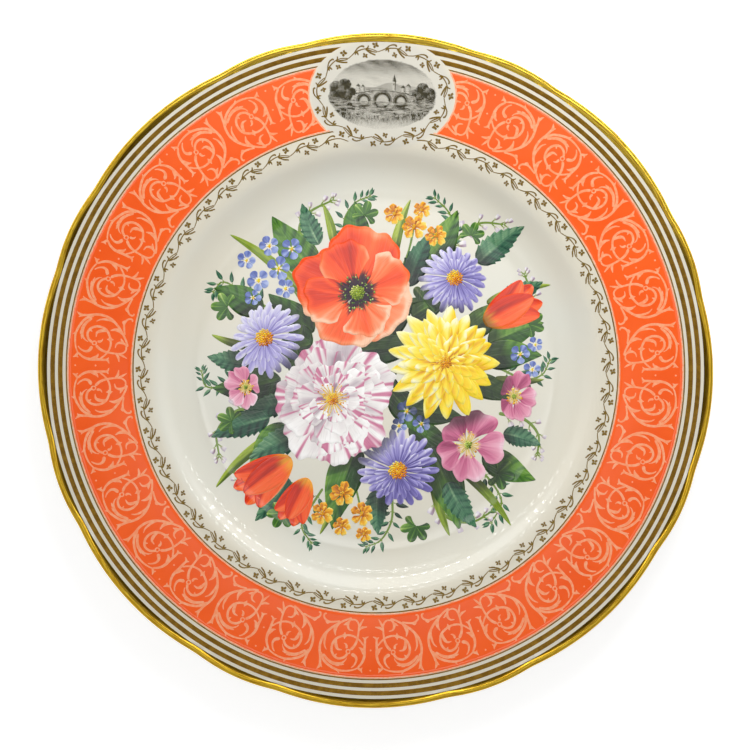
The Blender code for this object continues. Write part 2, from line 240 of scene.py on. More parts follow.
class Piece:
    """A mesh gathered from grids of points, whose last three axes are rows, columns and x, y, z in mm.

    grain is a point's place in its own brush marks or streaks, and paint its colour, where a material asks.
    """

    def __init__(self, name):
        self.name = name
        self.count = 0
        self.points, self.quads, self.grain, self.paint = [], [], [], []

    def add(self, points, grain=(0.0, 0.0, 0.0), paint=(1.0, 1.0, 1.0, 1.0), face_up=True, hidden=None):
        """Adds quads between neighbouring points of each grid, turned over where they would face down.

        A quad whose four corners are all hidden is left out.
        """
        rows, columns = points.shape[-3:-1]
        index = np.arange(points.size // 3).reshape(-1, rows, columns) + self.count
        quads = np.stack([index[:, :-1, :-1], index[:, :-1, 1:], index[:, 1:, 1:], index[:, 1:, :-1]], -1)
        if face_up:
            grid = points.reshape(-1, rows, columns, 3)
            across = grid[:, :-1, 1:] - grid[:, :-1, :-1]
            along = grid[:, 1:, :-1] - grid[:, :-1, :-1]
            area = across[..., 0] * along[..., 1] - across[..., 1] * along[..., 0]
            down = area.sum((1, 2)) < 0
            quads[down] = quads[down][..., ::-1]
        quads = quads.reshape(-1, 4)
        if hidden is not None:
            quads = quads[~hidden.reshape(-1)[quads - self.count].all(-1)]
        self.count += points.size // 3
        self.points.append(points.reshape(-1, 3))
        self.quads.append(quads)
        self.grain.append(np.broadcast_to(grain, (*points.shape[:-1], 3)).reshape(-1, 3))
        self.paint.append(np.broadcast_to(paint, (*points.shape[:-1], 4)).reshape(-1, 4))

    def make(self, material, slot, replaces=(), weld=False):
        """Makes the object, at the origin. Welding closes seams and poles, where points coincide."""
        quads = np.concatenate(self.quads)
        used, quads = np.unique(quads, return_inverse=True)
        quads = quads.reshape(-1, 4)
        mesh = bpy.data.meshes.new(self.name)
        mesh.vertices.add(len(used))
        mesh.vertices.foreach_set("co", (np.concatenate(self.points)[used] * MM).ravel())
        mesh.loops.add(quads.size)
        mesh.loops.foreach_set("vertex_index", quads.ravel())
        mesh.polygons.add(len(quads))
        mesh.polygons.foreach_set("loop_start", np.arange(0, quads.size, 4))
        mesh.update(calc_edges=True)
        grain = mesh.attributes.new("grain", "FLOAT_VECTOR", "POINT")
        grain.data.foreach_set("vector", np.concatenate(self.grain)[used].ravel())
        paint = mesh.attributes.new("paint", "FLOAT_COLOR", "POINT")
        paint.data.foreach_set("color", np.concatenate(self.paint)[used].ravel())
        if weld:
            work = bmesh.new()
            work.from_mesh(mesh)
            bmesh.ops.remove_doubles(work, verts=work.verts, dist=WELD_DISTANCE)
            work.to_mesh(mesh)
            work.free()
        mesh.shade_smooth()
        mesh.materials.append(material)
        made = bpy.data.objects.new(self.name, mesh)
        bpy.context.scene.collection.objects.link(made)
        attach(made, "root")
        if replaces:
            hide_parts(*replaces)


def way_along(line):
    """The way from a line's start to each of its points."""
    return np.concatenate([[0], np.cumsum(np.hypot(*np.diff(line, axis=0).T))])


def laid(plan, lift):
    """Plan points laid on the face: z = the face's height at their radius, plus their lift."""
    height = face_height(np.hypot(plan[..., 0], plan[..., 1])) + lift
    return np.concatenate([plan, height[..., None]], -1)


def clock(angle, radius):
    """The plan place at a clock angle and radius: (r sin a, r cos a)."""
    return np.stack([radius * np.sin(angle), radius * np.cos(angle)], -1)


# ---------------------------------------------------------------- shader maths


class Signal:
    """A shader socket that can be reckoned with: its operators add Math nodes."""

    def __init__(self, graph, socket):
        self.graph, self.socket = graph, socket

    def maths(self, operation, *values):
        return self.graph.add("ShaderNodeMath", {"operation": operation}, dict(enumerate(values)))

    def __add__(self, other):
        return self.maths("ADD", self, other)

    def __radd__(self, other):
        return self.maths("ADD", other, self)

    def __sub__(self, other):
        return self.maths("SUBTRACT", self, other)

    def __rsub__(self, other):
        return self.maths("SUBTRACT", other, self)

    def __mul__(self, other):
        return self.maths("MULTIPLY", self, other)

    def __rmul__(self, other):
        return self.maths("MULTIPLY", other, self)

    def __truediv__(self, other):
        return self.maths("DIVIDE", self, other)

    def __rtruediv__(self, other):
        return self.maths("DIVIDE", other, self)

    def sine(self):
        return self.maths("SINE", self)

    def between(self, low, high):
        """0 below low, 1 above high, and a smooth step from one to the other. low may be the larger."""
        if low > high:
            return 1 - self.between(high, low)
        settings = {"interpolation_type": "SMOOTHSTEP"}
        return self.graph.add("ShaderNodeMapRange", settings, {"Value": self, 1: low, 2: high})

    def within(self, low, high, soft):
        """1 between low and high, fading out to 0 at both over a width of soft."""
        return self.between(low, low + soft) * self.between(high, high - soft)


class Graph:
    """The nodes of a material or a world."""

    def __init__(self, owner):
        owner.use_nodes = True
        self.owner, self.tree = owner, owner.node_tree
        self.tree.nodes.clear()

    def add(self, kind, settings=None, sockets=None, output=0):
        """Any node: its settings are set first, and then its sockets' values or links."""
        node = self.tree.nodes.new(kind)
        for name, value in (settings or {}).items():
            setattr(node, name, value)
        for key, value in (sockets or {}).items():
            if isinstance(value, Signal):
                self.tree.links.new(value.socket, node.inputs[key])
            else:
                node.inputs[key].default_value = value
        return Signal(self, node.outputs[output]) if node.outputs else None

    def place(self):
        """The point's place in the plate's frame, in metres."""
        return self.add("ShaderNodeTexCoord", output="Object")

    def attribute(self, name, output="Vector"):
        return self.add("ShaderNodeAttribute", {"attribute_name": name}, output=output)

    def vector_maths(self, operation, *values, output=0):
        return self.add("ShaderNodeVectorMath", {"operation": operation}, dict(enumerate(values)), output)

    def scaled(self, vector, factors):
        return self.vector_maths("MULTIPLY", vector, factors)

    def length(self, vector):
        return self.vector_maths("LENGTH", vector, output=1)

    def axes(self, vector):
        """The vector's x, y and z."""
        return [self.add("ShaderNodeSeparateXYZ", None, {0: vector}, axis) for axis in range(3)]

    def ray(self, kind):
        """1 for rays of a kind, and 0 for others."""
        return self.add("ShaderNodeLightPath", output=f"Is {kind} Ray")

    def noise(self, vector, scale, detail=2.0, roughness=0.5):
        """Fractal noise from 0 to 1, with about `scale` blots to a unit of its vector."""
        values = {"Vector": vector, "Scale": scale, "Detail": detail, "Roughness": roughness}
        return self.add("ShaderNodeTexNoise", None, values)

    def mix(self, factor, first, second, blend="MIX"):
        settings = {"data_type": "RGBA", "blend_type": blend}
        return self.add("ShaderNodeMix", settings, {0: factor, 6: first, 7: second}, output=2)

    def bump(self, height, distance, strength, normal=None):
        values = {"Strength": strength, "Distance": distance, "Height": height}
        if normal is not None:
            values["Normal"] = normal
        return self.add("ShaderNodeBump", None, values)

    def surface(self, **inputs):
        """The finish: a Principled shader whose sockets are given with _ for a space."""
        values = {name.replace("_", " "): value for name, value in inputs.items()}
        shader = self.add("ShaderNodeBsdfPrincipled", None, values)
        self.add("ShaderNodeOutputMaterial", None, {"Surface": shader})
        return self.owner


# ---------------------------------------------------------------- finishes

IVORY = srgb(222, 221, 209)
WARM_IVORY = srgb(224, 219, 202)
RIM_IVORY = srgb(219, 213, 195)
MEDALLION_IVORY = srgb(210, 206, 193)
BISQUE = srgb(196, 190, 178)
CORAL = srgb(251, 99, 34)
DEEP_CORAL = srgb(243, 88, 24)
SHELL_PINK = srgb(250, 149, 101)
PINK_PEACH = srgb(249, 170, 128)
PALE_PEACH = srgb(240, 182, 146)
BRIGHT_GOLD = srgb(228, 192, 62)
ORANGE_GOLD = srgb(196, 148, 34)
# painted highlight: the lip's gold where the light from the north falls on it
LIT_GOLD = srgb(252, 218, 84)
# painted shade: the dark gold of the lip's flat edge, in the bead's shade
SHADED_GOLD = srgb(58, 36, 2)
OLD_GOLD = srgb(156, 117, 34)
BROWN_GOLD = srgb(130, 94, 22)
VINE_BROWN = srgb(132, 102, 34)
VINE_GOLD = srgb(134, 111, 54)
INK = srgb(46, 42, 24)
PALE_INK = srgb(68, 62, 40)
SPECK = srgb(96, 58, 30)

# How far out in metres, and how far across the medallion's oval as a share, the glaze changes its tint.
RIM_TINT = (0.0885, 0.0935)
MEDALLION_TINT = (1.02, 0.9)
BARE_FOOT = (0.0006, 0.0003)  # the heights in metres between which the foot's glaze ends

# The gilding's painted highlight, as if lit from the north: where it comes in and where it is whole, on a scale
# that grows northward and a little eastward round the lip.
LIT_NORTH_GILT = (0.4, 0.95)
SHADED_FLAT_EDGE = (FLAT_GILT + 0.12, FLAT_GILT - 0.1)  # mm along the section where the painted shade on the flat edge ends


def finish(name):
    """The empty graph of a new material. Noise in a finish is scaled in blots to a metre."""
    return Graph(bpy.data.materials.new(name))


def glaze_normal(graph, place):
    """The glaze's faint orange peel: waves some 4 mm long and a few microns high."""
    return graph.bump(graph.noise(place, 260.0, 2.0), 0.00001, 0.6)


def china_glaze():
    """Warm ivory china under clear glaze, a little warmer in broad drifts, with a bare foot to stand on."""
    graph = finish("china_glaze")
    place = graph.place()
    drift = graph.noise(place, 14.0, 3.0)
    tint = graph.mix(drift.between(0.35, 0.7), IVORY, WARM_IVORY)
    tint = graph.mix(graph.length(place).between(*RIM_TINT), tint, RIM_IVORY)
    centred = graph.vector_maths("SUBTRACT", place, (0, MM * MEDALLION_RADIUS, 0))
    oval = graph.scaled(centred, (1 / (MM * WINDOW_HALF_WIDTH), 1 / (MM * WINDOW_HALF_HEIGHT), 1))
    tint = graph.mix(graph.length(oval).between(*MEDALLION_TINT), tint, MEDALLION_IVORY)
    pinholes = graph.add("ShaderNodeTexVoronoi", None, {"Vector": place, "Scale": 180.0})
    tint = graph.mix(pinholes.between(0.05, 0.0) * graph.noise(place, 60.0).between(0.62, 0.7), tint, SPECK)
    bare = graph.axes(place)[2].between(*BARE_FOOT)
    grit = graph.noise(place, 2400.0, 3.0)
    tint = graph.mix(bare * (0.75 + 0.25 * grit), tint, BISQUE)
    polish = 0.035 + 0.03 * graph.noise(place, 45.0) + 0.5 * bare
    sand = graph.bump(grit * bare, 0.00006, 0.8, glaze_normal(graph, place))
    return graph.surface(Base_Color=tint, Roughness=polish, IOR=1.5, Normal=sand)


def lip_gilding():
    """Burnished gold laid by brush: long streaks along the lip, brown where it is thin, and painted shade
    that darkens its flat edge.

    Beside the medallion the gold is painted paler and its flat edge bright: a painted highlight, as if lit from
    the north.
    """
    graph = finish("lip_gilding")
    grain = graph.attribute("grain")
    east, north, run = graph.axes(grain)
    # painted highlight: the gold is painted paler towards the north and a little east, as if lit from there
    lit_north = (0.03 * east + 0.12 * north).between(*LIT_NORTH_GILT)
    streak = graph.noise(graph.scaled(grain, (0.6, 0.6, 0.8)), 4.0, 3.0, 0.55)
    thin = graph.noise(graph.scaled(grain, (1.0, 1.0, 0.5)), 5.0, 3.0)
    tint = graph.mix(streak.between(0.36, 0.66), BRIGHT_GOLD, ORANGE_GOLD)
    tint = graph.mix(thin.between(0.58, 0.72) * 0.6, tint, BROWN_GOLD)
    tint = graph.mix(lit_north * (0.1 + 1.1 * streak.between(0.62, 0.42)), tint, LIT_GOLD)
    # painted shade: the flat edge inside the bead is painted dark, less so where the north is painted lit
    flat = (run + 0.25 * (streak - 0.5)).between(*SHADED_FLAT_EDGE) * (1 - 0.9 * lit_north)
    tint = graph.mix(flat * (0.7 + 0.3 * thin), tint, SHADED_GOLD)
    polish = 0.26 + 0.06 * streak - 0.08 * lit_north
    rough = 0.2 + 0.8 * lit_north
    dents = graph.bump(rough * graph.noise(graph.place(), 300.0, 1.0), 0.00002, 0.4)
    ridges = graph.bump(rough * streak, 0.000015, 0.5, dents)
    return graph.surface(Base_Color=tint, Metallic=1.0, Roughness=polish, Normal=ridges)


def printed_gold():
    """Old gold, screen-printed: brownish, mottled, with a fine dry grain."""
    graph = finish("printed_gold")
    place = graph.place()
    mottle = graph.noise(place, 340.0, 4.0, 0.65)
    grain = graph.noise(place, 3000.0, 2.0)
    tint = graph.mix(mottle.between(0.36, 0.64), OLD_GOLD, BROWN_GOLD)
    polish = 0.3 + 0.14 * mottle + 0.06 * grain
    dry = graph.bump(grain, 0.000008, 0.5)
    return graph.surface(Base_Color=tint, Metallic=0.7, Roughness=polish, Normal=dry)


def coral_enamel():
    """Opaque coral under gloss: cloudy where the print ran heavy, with a few brown kiln specks."""
    graph = finish("coral_enamel")
    place = graph.place()
    cloud = graph.noise(place, 55.0, 3.0)
    fine = graph.noise(place, 1500.0, 2.0)
    tint = graph.mix(cloud.between(0.3, 0.75) * 0.7 + fine * 0.15, CORAL, DEEP_CORAL)
    spots = graph.add("ShaderNodeTexVoronoi", None, {"Vector": place, "Scale": 110.0})
    tint = graph.mix(spots.between(0.07, 0.04) * graph.noise(place, 20.0).between(0.68, 0.7), tint, SPECK)
    polish = 0.09 + 0.07 * graph.noise(place, 70.0) + 0.04 * fine
    return graph.surface(Base_Color=tint, Roughness=polish, IOR=1.5, Normal=glaze_normal(graph, place))


def line_enamel(name, colour, deep, metallic=0.0, polish=0.14):
    """An enamel drawn in fine lines: its colour pools a little, and its gloss is uneven."""
    graph = finish(name)
    pool = graph.noise(graph.place(), 700.0, 3.0)
    tint = graph.mix(pool.between(0.35, 0.7), colour, deep)
    ridge = graph.bump(pool, 0.00001, 0.5)
    return graph.surface(Base_Color=tint, Metallic=metallic, Roughness=polish + 0.1 * pool, Normal=ridge)


def flower_enamel(name, strength):
    """Printed flowers: each point's own paint, drawn over with fine brush marks along the petal or leaf."""
    graph = finish(name)
    place = graph.place()
    paint = graph.attribute("paint", "Color")
    hairs = graph.noise(graph.scaled(graph.attribute("grain"), (2.2, 0.14, 7.0)), 1.0, 3.0, 0.55)
    wash = graph.noise(place, 420.0, 3.0)
    darker = graph.mix(hairs.between(0.5, 0.72) * strength, paint, (0.5, 0.46, 0.48, 1), "MULTIPLY")
    tint = graph.mix(hairs.between(0.5, 0.26) * (0.12 * strength), darker, (1, 0.98, 0.93, 1))
    polish = 0.1 + 0.08 * wash
    return graph.surface(Base_Color=tint, Roughness=polish, IOR=1.5, Normal=glaze_normal(graph, place))


# ---------------------------------------------------------------- china and gilding


def make_china():
    """The whole body, turned from its face and back sections, with the lip pressed into lobes."""
    section = np.concatenate([FACE, BACK])
    weight = np.concatenate([face_weight(FACE[:, 0]), back_weight(BACK[:, 0])])
    angles = np.linspace(0, TURN, ROUND_STEPS + 1)
    china = Piece("china_body_glazed")
    china.add(turned(section, weight, angles), face_up=False)
    china.make(china_glaze(), "china", ["china_body"], weld=True)


def make_gilt_lip():
    """Gold over the flat edge, over the bead and a little way round under it.

    It is the china's own line moved out square to itself, turned and pressed as the china is. Its grain is
    (g sin a, g cos a, mm along the section), where g is GRAIN_RADIUS. The last is less by BEAD_SHADE at a
    lobe's tip, so that the painted shade of the flat edge takes in the bead's inner flank there.
    """
    start = (GILT_INNER, face_height(GILT_INNER))
    top, under = FACE[FACE[:, 0] > GILT_INNER], BACK[BACK[:, 0] > GILT_UNDER_END]
    section = filled(np.concatenate([[start], top, under]), GILT_STEP)
    step = np.gradient(section, axis=0)
    step /= np.hypot(step[:, :1], step[:, 1:])
    lift = np.full(len(section), FILM)
    lift[[0, -1]] = -SINK
    section = section + np.stack([-step[:, 1], step[:, 0]], -1) * lift[:, None]
    run = way_along(section)
    above = np.arange(len(section)) <= np.argmax(section[:, 0])
    weight = np.where(above, face_weight(section[:, 0]), back_weight(section[:, 0]))
    angles = np.linspace(0, TURN, ROUND_STEPS * 2 + 1)
    along = run[:, None] - BEAD_SHADE * (1 - lip_inset(angles)[1])
    east, north = GRAIN_RADIUS * np.sin(angles), GRAIN_RADIUS * np.cos(angles)
    grain = np.stack(np.broadcast_arrays(east, north, along), -1)
    gilt = Piece("lip_gilding")
    gilt.add(turned(section, weight, angles), grain, face_up=False)
    gilt.make(lip_gilding(), "lip_gold", ["gilt_edge"], weld=True)


# ---------------------------------------------------------------- rings on the rim


def ring_radii(node):
    """The least and greatest radius of one of the CAD model's rings, in mm, away from the medallion."""
    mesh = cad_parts[node].data
    places = np.empty(len(mesh.vertices) * 3)
    mesh.vertices.foreach_get("co", places)
    places = places.reshape(-1, 3)
    radius = np.hypot(places[:, 0], places[:, 1])[places[:, 1] < 0] / MM
    return radius.min(), radius.max()


CORAL_INNER, CORAL_OUTER = ring_radii("coral_border")
MEDALLION_RADIUS = (CORAL_INNER + CORAL_OUTER) / 2
WINDOW_HALF_WIDTH, WINDOW_HALF_HEIGHT = 29.6, 22.6
PEACH_WIDTH, PEACH_OVERLAP = 0.55, 0.05
PEACH_FILM = 0.02  # over the coral's own film
LINE_OVERRUN = 1.6  # how far the inner lines run on past the coral's corners
RING_STEPS = 720
RING_EDGE = 0.08  # how wide a layer's sloping edge is at the most


def window_angle(radius, grow=0.0):
    """The clock angle at which a circle round the axis enters the medallion's oval, or 0 where it misses it.

    A point (r sin a, r cos a) is on the oval (x / w)^2 + ((y - c) / h)^2 = 1, a quadratic in u = cos a.
    """
    w, h, c = WINDOW_HALF_WIDTH + grow, WINDOW_HALF_HEIGHT + grow, MEDALLION_RADIUS
    square = (radius / h) ** 2 - (radius / w) ** 2
    slope = -2 * radius * c / h**2
    rest = (radius / w) ** 2 + (c / h) ** 2 - 1
    root = np.sqrt(np.maximum(slope**2 - 4 * square * rest, 0))
    return np.arccos(np.clip((-slope - root) / (2 * square), -1, 1))


def ring_points(inner, outer, rows, film=FILM, grow=0.0):
    """A flat ring of enamel laid on the rim, from one side of the medallion's window round to the other."""
    edge = min(RING_EDGE, (outer - inner) / 4)
    radius = np.concatenate([[inner], np.linspace(inner + edge, outer - edge, rows), [outer]])
    lift = np.full(len(radius), film)
    lift[[0, -1]] = -SINK
    first = window_angle(radius, grow)[:, None]
    angles = first + (TURN - 2 * first) * np.linspace(0, 1, RING_STEPS + 1)
    return laid(clock(angles, radius[:, None]), lift[:, None])


def make_rings():
    """The gold bands and hairlines, and the coral ground: (CAD node, piece, rows across, overrun)."""
    gold, coral = (printed_gold(), "printed_gold"), (coral_enamel(), "coral_enamel")
    for node, name, rows, overrun, (material, slot) in (
        ("outer_gold_band", "outer_gold_band_print", 4, 0.0, gold),
        ("inner_gold_band", "inner_gold_band_print", 4, 0.0, gold),
        ("outer_gold_line", "outer_gold_hairline", 2, 0.0, gold),
        ("inner_gold_line", "inner_gold_hairline", 2, LINE_OVERRUN, gold),
        ("coral_border", "coral_ground", 26, 0.0, coral),
    ):
        ring = Piece(name)
        ring.add(ring_points(*ring_radii(node), rows, grow=-overrun))
        ring.make(material, slot, [node])


def make_peach_lines():
    """Pale lines that edge the coral: along its two circles, and along the medallion's oval."""
    lines = Piece("peach_edge_lines")
    film = FILM + PEACH_FILM
    inner, outer = CORAL_INNER + PEACH_OVERLAP, CORAL_OUTER - PEACH_OVERLAP
    lines.add(ring_points(outer, CORAL_OUTER + PEACH_WIDTH, 3, film))
    lines.add(ring_points(CORAL_INNER - PEACH_WIDTH, inner, 3, film, grow=-LINE_OVERRUN * 0.6))
    radius = np.linspace(CORAL_INNER, CORAL_OUTER, 60)
    for side in (-1, 1):
        path = clock(side * window_angle(radius), radius)
        lines.add(*ribbon(path, (0.5, 0.5, 0.5), FILM, PEACH_FILM))
    lines.make(line_enamel("peach_enamel", PALE_PEACH, SHELL_PINK), "coral_enamel")


# ---------------------------------------------------------------- brush strokes


def flowing(points, steps):
    """A smooth path through chosen points, closer stepped at its ends.

    Catmull-Rom: each stretch is a cubic whose slope at a point is half the step between its neighbours.
    """
    chosen = np.array(points, float)
    chosen = np.concatenate([[2 * chosen[0] - chosen[1]], chosen, [2 * chosen[-1] - chosen[-2]]])
    along = (1 - np.cos(np.pi * np.linspace(0, 1, steps))) / 2 * (len(points) - 1)
    first = np.minimum(along.astype(int), len(points) - 2)
    t = (along - first)[:, None]
    a, b, c, d = (chosen[first + k] for k in range(4))
    return 0.5 * (2 * b + (c - a) * t + (2 * a - 5 * b + 4 * c - d) * t**2 + (3 * b - a - 3 * c + d) * t**3)


def ribbon(path, widths, ground=0.0, film=FILM):
    """A brush stroke along plan paths: two sides sunk in its ground and a raised middle, laid on the face.

    widths are those seen at the start, middle and end. Half the width follows them, and is closed off by a
    round end: half times sqrt(1 - (1 - d / half)^2), where d is the way to the nearer end. Returns the points
    and, for each, its grain: mm along, mm across, and 0.
    """
    step = np.gradient(path, axis=-2)
    side = np.stack([step[..., 1], -step[..., 0]], -1)
    side /= np.maximum(np.hypot(side[..., :1], side[..., 1:]), 1e-9)
    pace = np.hypot(*np.moveaxis(np.diff(path, axis=-2), -1, 0))
    run = np.concatenate([np.zeros((*pace.shape[:-1], 1)), np.cumsum(pace, -1)], -1)
    total = run[..., -1:]
    half = np.interp(run / total, [0, 0.5, 1], widths) / 2 * (1 + SINK / film) + 1e-4
    reach = np.clip(np.minimum(run, total - run) / half, 0, 1)
    cap = np.sqrt(1 - (1 - reach) ** 2)
    across = np.array([-1.0, 0.0, 1.0])
    plan = path[..., None, :] + side[..., None, :] * (half * cap)[..., None, None] * across[:, None]
    lift = np.where(across == 0, ground + film * cap[..., None], ground - SINK)
    grain = np.stack(np.broadcast_arrays(run[..., None], across * half[..., None], 0.0), -1)
    return laid(plan, lift), grain


def outside_window(points):
    """Points pushed out to the medallion's oval if they lie inside it, and which those are."""
    dx, dy = points[..., 0] / WINDOW_HALF_WIDTH, (points[..., 1] - MEDALLION_RADIUS) / WINDOW_HALF_HEIGHT
    reach = np.maximum(np.hypot(dx, dy), 1e-6)
    inside = reach < 1
    push = np.where(inside, 1 / reach, 1)
    moved = points.copy()
    moved[..., 0] = points[..., 0] * push
    moved[..., 1] = MEDALLION_RADIUS + (points[..., 1] - MEDALLION_RADIUS) * push
    return moved, inside


# Scrollwork on the coral. One half of a cell: places are (mm to the left of the cell's axis, mm above the
# coral's inner edge), and each stroke has its widths in mm at its start, middle and end. Every stroke is
# mirrored about the axis and repeated in each cell.
SCROLL_CELLS = 16
SCROLL_WEIGHT = 1.05  # how boldly the strokes are drawn
SCROLL_AXIS = math.radians(10.8)
SCROLL_STROKES = [
    # main C-stem and the fleur at its top
    ((0.9, 0.95, 0.7), [(2.9, 21.2), (2.5, 18.5), (1.7, 15.5), (1.6, 12.5), (2.5, 9.6), (4.4, 7.0),
                        (7.2, 4.6), (10.5, 2.6), (13.1, 1.6)]),
    ((0.9, 1.0, 0.2), [(2.8, 20.4), (3.1, 21.6), (3.9, 22.6)]),
    ((0.8, 1.0, 0.15), [(2.9, 20.8), (2.8, 22.2), (2.0, 23.7)]),
    # arc over the top, its fleur and its cusp
    ((0.5, 0.9, 1.0), [(17.0, 21.2), (15.5, 22.0), (13.4, 22.6), (11.4, 22.8), (9.6, 22.7), (7.0, 21.7),
                       (4.2, 19.8), (2.2, 16.6)]),
    ((0.15, 1.0, 0.8), [(18.7, 23.2), (18.1, 22.0), (16.9, 21.2)]),
    ((0.15, 0.8, 0.6), [(18.7, 20.9), (18.2, 21.7), (17.2, 21.7)]),
    ((0.15, 0.7, 0.6), [(10.3, 24.0), (9.9, 23.2), (9.2, 22.5)]),
    # acanthus leaf under the arc
    ((0.2, 1.3, 0.8), [(12.6, 17.4), (12.0, 18.7), (10.4, 20.0), (7.8, 20.3), (5.5, 19.2), (3.4, 17.2)]),
    ((0.2, 0.9, 0.5), [(11.9, 20.2), (10.6, 20.3), (9.4, 20.3)]),
    ((0.2, 0.9, 0.5), [(10.2, 21.0), (9.2, 20.8), (7.8, 20.3)]),
    # ring inside, its leaf tip and the leaf that lines it
    ((0.9, 0.9, 0.6), [(12.8, 15.7), (11.4, 17.5), (9.0, 18.1), (7.0, 16.6), (6.2, 14.1), (6.8, 11.4),
                       (8.7, 9.6), (12.0, 8.5), (15.0, 8.9), (17.3, 10.4), (18.9, 12.3)]),
    ((0.2, 0.9, 0.7), [(8.6, 16.3), (7.9, 17.2), (7.0, 16.6)]),
    ((0.3, 1.3, 0.6), [(10.5, 14.6), (8.7, 14.4), (7.8, 12.9), (7.6, 11.3), (7.5, 10.2)]),
    # comma, the eye at the scroll's centre and a diamond bud
    ((1.0, 0.8, 0.2), [(12.0, 13.9), (12.1, 12.9), (11.6, 12.1), (10.8, 11.8)]),
    ((0.5, 0.5, 0.5), [(13.6, 15.0), (13.3, 15.7), (12.5, 15.7), (12.1, 15.0), (12.5, 14.3), (13.3, 14.3),
                       (13.6, 15.0)]),
    ((0.2, 2.0, 0.2), [(9.6, 8.9), (10.9, 8.8), (12.0, 8.6)]),
    ((0.2, 1.2, 0.2), [(10.8, 7.4), (10.8, 8.8), (10.9, 10.2)]),
    # upper inner leaf
    ((0.4, 0.8, 1.5), [(14.5, 21.4), (15.6, 20.2), (16.3, 18.4), (16.0, 17.0), (15.0, 16.2), (14.1, 16.0)]),
    # crossing stem with two side leaves
    ((1.1, 0.7, 0.6), [(13.7, 14.3), (15.2, 12.4), (16.1, 9.9), (16.5, 5.7), (16.1, 3.4), (14.7, 2.2),
                       (12.9, 2.3)]),
    ((0.7, 1.0, 0.3), [(16.5, 6.3), (17.7, 5.2), (20.0, 4.7)]),
    ((0.8, 0.8, 0.3), [(16.6, 5.0), (17.3, 3.4), (18.4, 1.6)]),
    # outer arc, its fork and its thick leaf
    ((0.7, 1.1, 0.8), [(16.9, 21.2), (18.4, 19.2), (19.2, 16.8), (19.2, 13.6), (19.3, 11.0), (19.2, 9.4)]),
    ((0.7, 0.8, 0.2), [(19.2, 10.2), (19.6, 9.2), (20.8, 8.6)]),
    ((0.7, 0.7, 0.2), [(19.2, 10.0), (18.9, 9.3), (18.2, 8.9)]),
    ((1.0, 1.3, 0.3), [(19.1, 16.0), (18.6, 14.4), (17.9, 13.5), (16.9, 13.0)]),
    # leaves along the C-stem
    ((0.3, 0.9, 0.5), [(4.4, 15.4), (3.4, 13.9), (3.0, 11.8), (3.2, 9.4), (3.8, 8.0)]),
    ((0.3, 1.4, 0.6), [(7.1, 9.3), (6.5, 7.4), (6.8, 5.8), (8.1, 4.1)]),
    # bud at the foot with its side leaf
    ((0.3, 1.0, 0.7), [(14.2, 6.6), (12.5, 6.2), (11.7, 4.8), (12.0, 3.1), (13.2, 1.7)]),
    ((0.2, 1.0, 0.6), [(9.8, 4.7), (10.9, 4.1), (11.8, 3.2)]),
    # tendril under the axis with its knob
    ((0.6, 0.8, 0.6), [(8.2, 3.3), (5.4, 4.0), (3.2, 4.2), (1.4, 3.3), (0.8, 2.2), (1.1, 1.3), (1.9, 1.3)]),
    ((0.2, 1.0, 0.2), [(3.9, 4.5), (2.9, 4.7), (1.9, 4.3)]),
]
# Dots on the axis between two cells: (mm above the coral's inner edge, diameter in mm).
SCROLL_DOTS = [(22.1, 0.8), (14.05, 0.8)]


def make_scrollwork():
    """Pale scrolls on the coral, cut off at the medallion's oval.

    A stroke's place (u, v) lies at the clock angle axis -+ u / R and the radius inner + v, where R is the
    coral's middle radius.
    """
    scrolls = Piece("rim_scrollwork")

    def draw(path, widths):
        points, grain = ribbon(path, widths, FILM)
        points, inside = outside_window(points)
        scrolls.add(points, grain, hidden=inside)

    axes = SCROLL_AXIS + TURN / SCROLL_CELLS * np.arange(SCROLL_CELLS)
    for widths, chosen in SCROLL_STROKES:
        path = flowing(chosen, 6 + 3 * len(chosen))
        for side in (-1, 1):
            angle = axes[:, None] + side * path[:, 0] / MEDALLION_RADIUS
            draw(clock(angle, CORAL_INNER + path[:, 1]), [SCROLL_WEIGHT * width for width in widths])
    for place, size in SCROLL_DOTS:
        centre = clock(axes + TURN / SCROLL_CELLS / 2, CORAL_INNER + place)[:, None]
        draw(centre + np.array([1.0, 0.0]) * np.linspace(-size / 2, size / 2, 7)[:, None], (size, size, size))
    scrolls.make(line_enamel("scroll_enamel", SHELL_PINK, PINK_PEACH), "coral_enamel")


# ---------------------------------------------------------------- the gilt vine


def flower_lobes(middle, width, tips):
    """A small flower's lobes: straight strokes from its middle to a tip, each fullest at 0.6 of the way."""
    x, y = middle
    return [((0.3, width, 0.45 * width), [(x + share * (far - x), y + share * (out - y))
                                          for share in (0.05, 0.6, 1)])
            for far, out in tips]


VINE_RADIUS = 93.3
VINE_MOTIFS = 48
VINE_PITCH = TURN * VINE_RADIUS / VINE_MOTIFS
VINE_START = math.radians(-1.45)
VINE_WEIGHT = 1.2
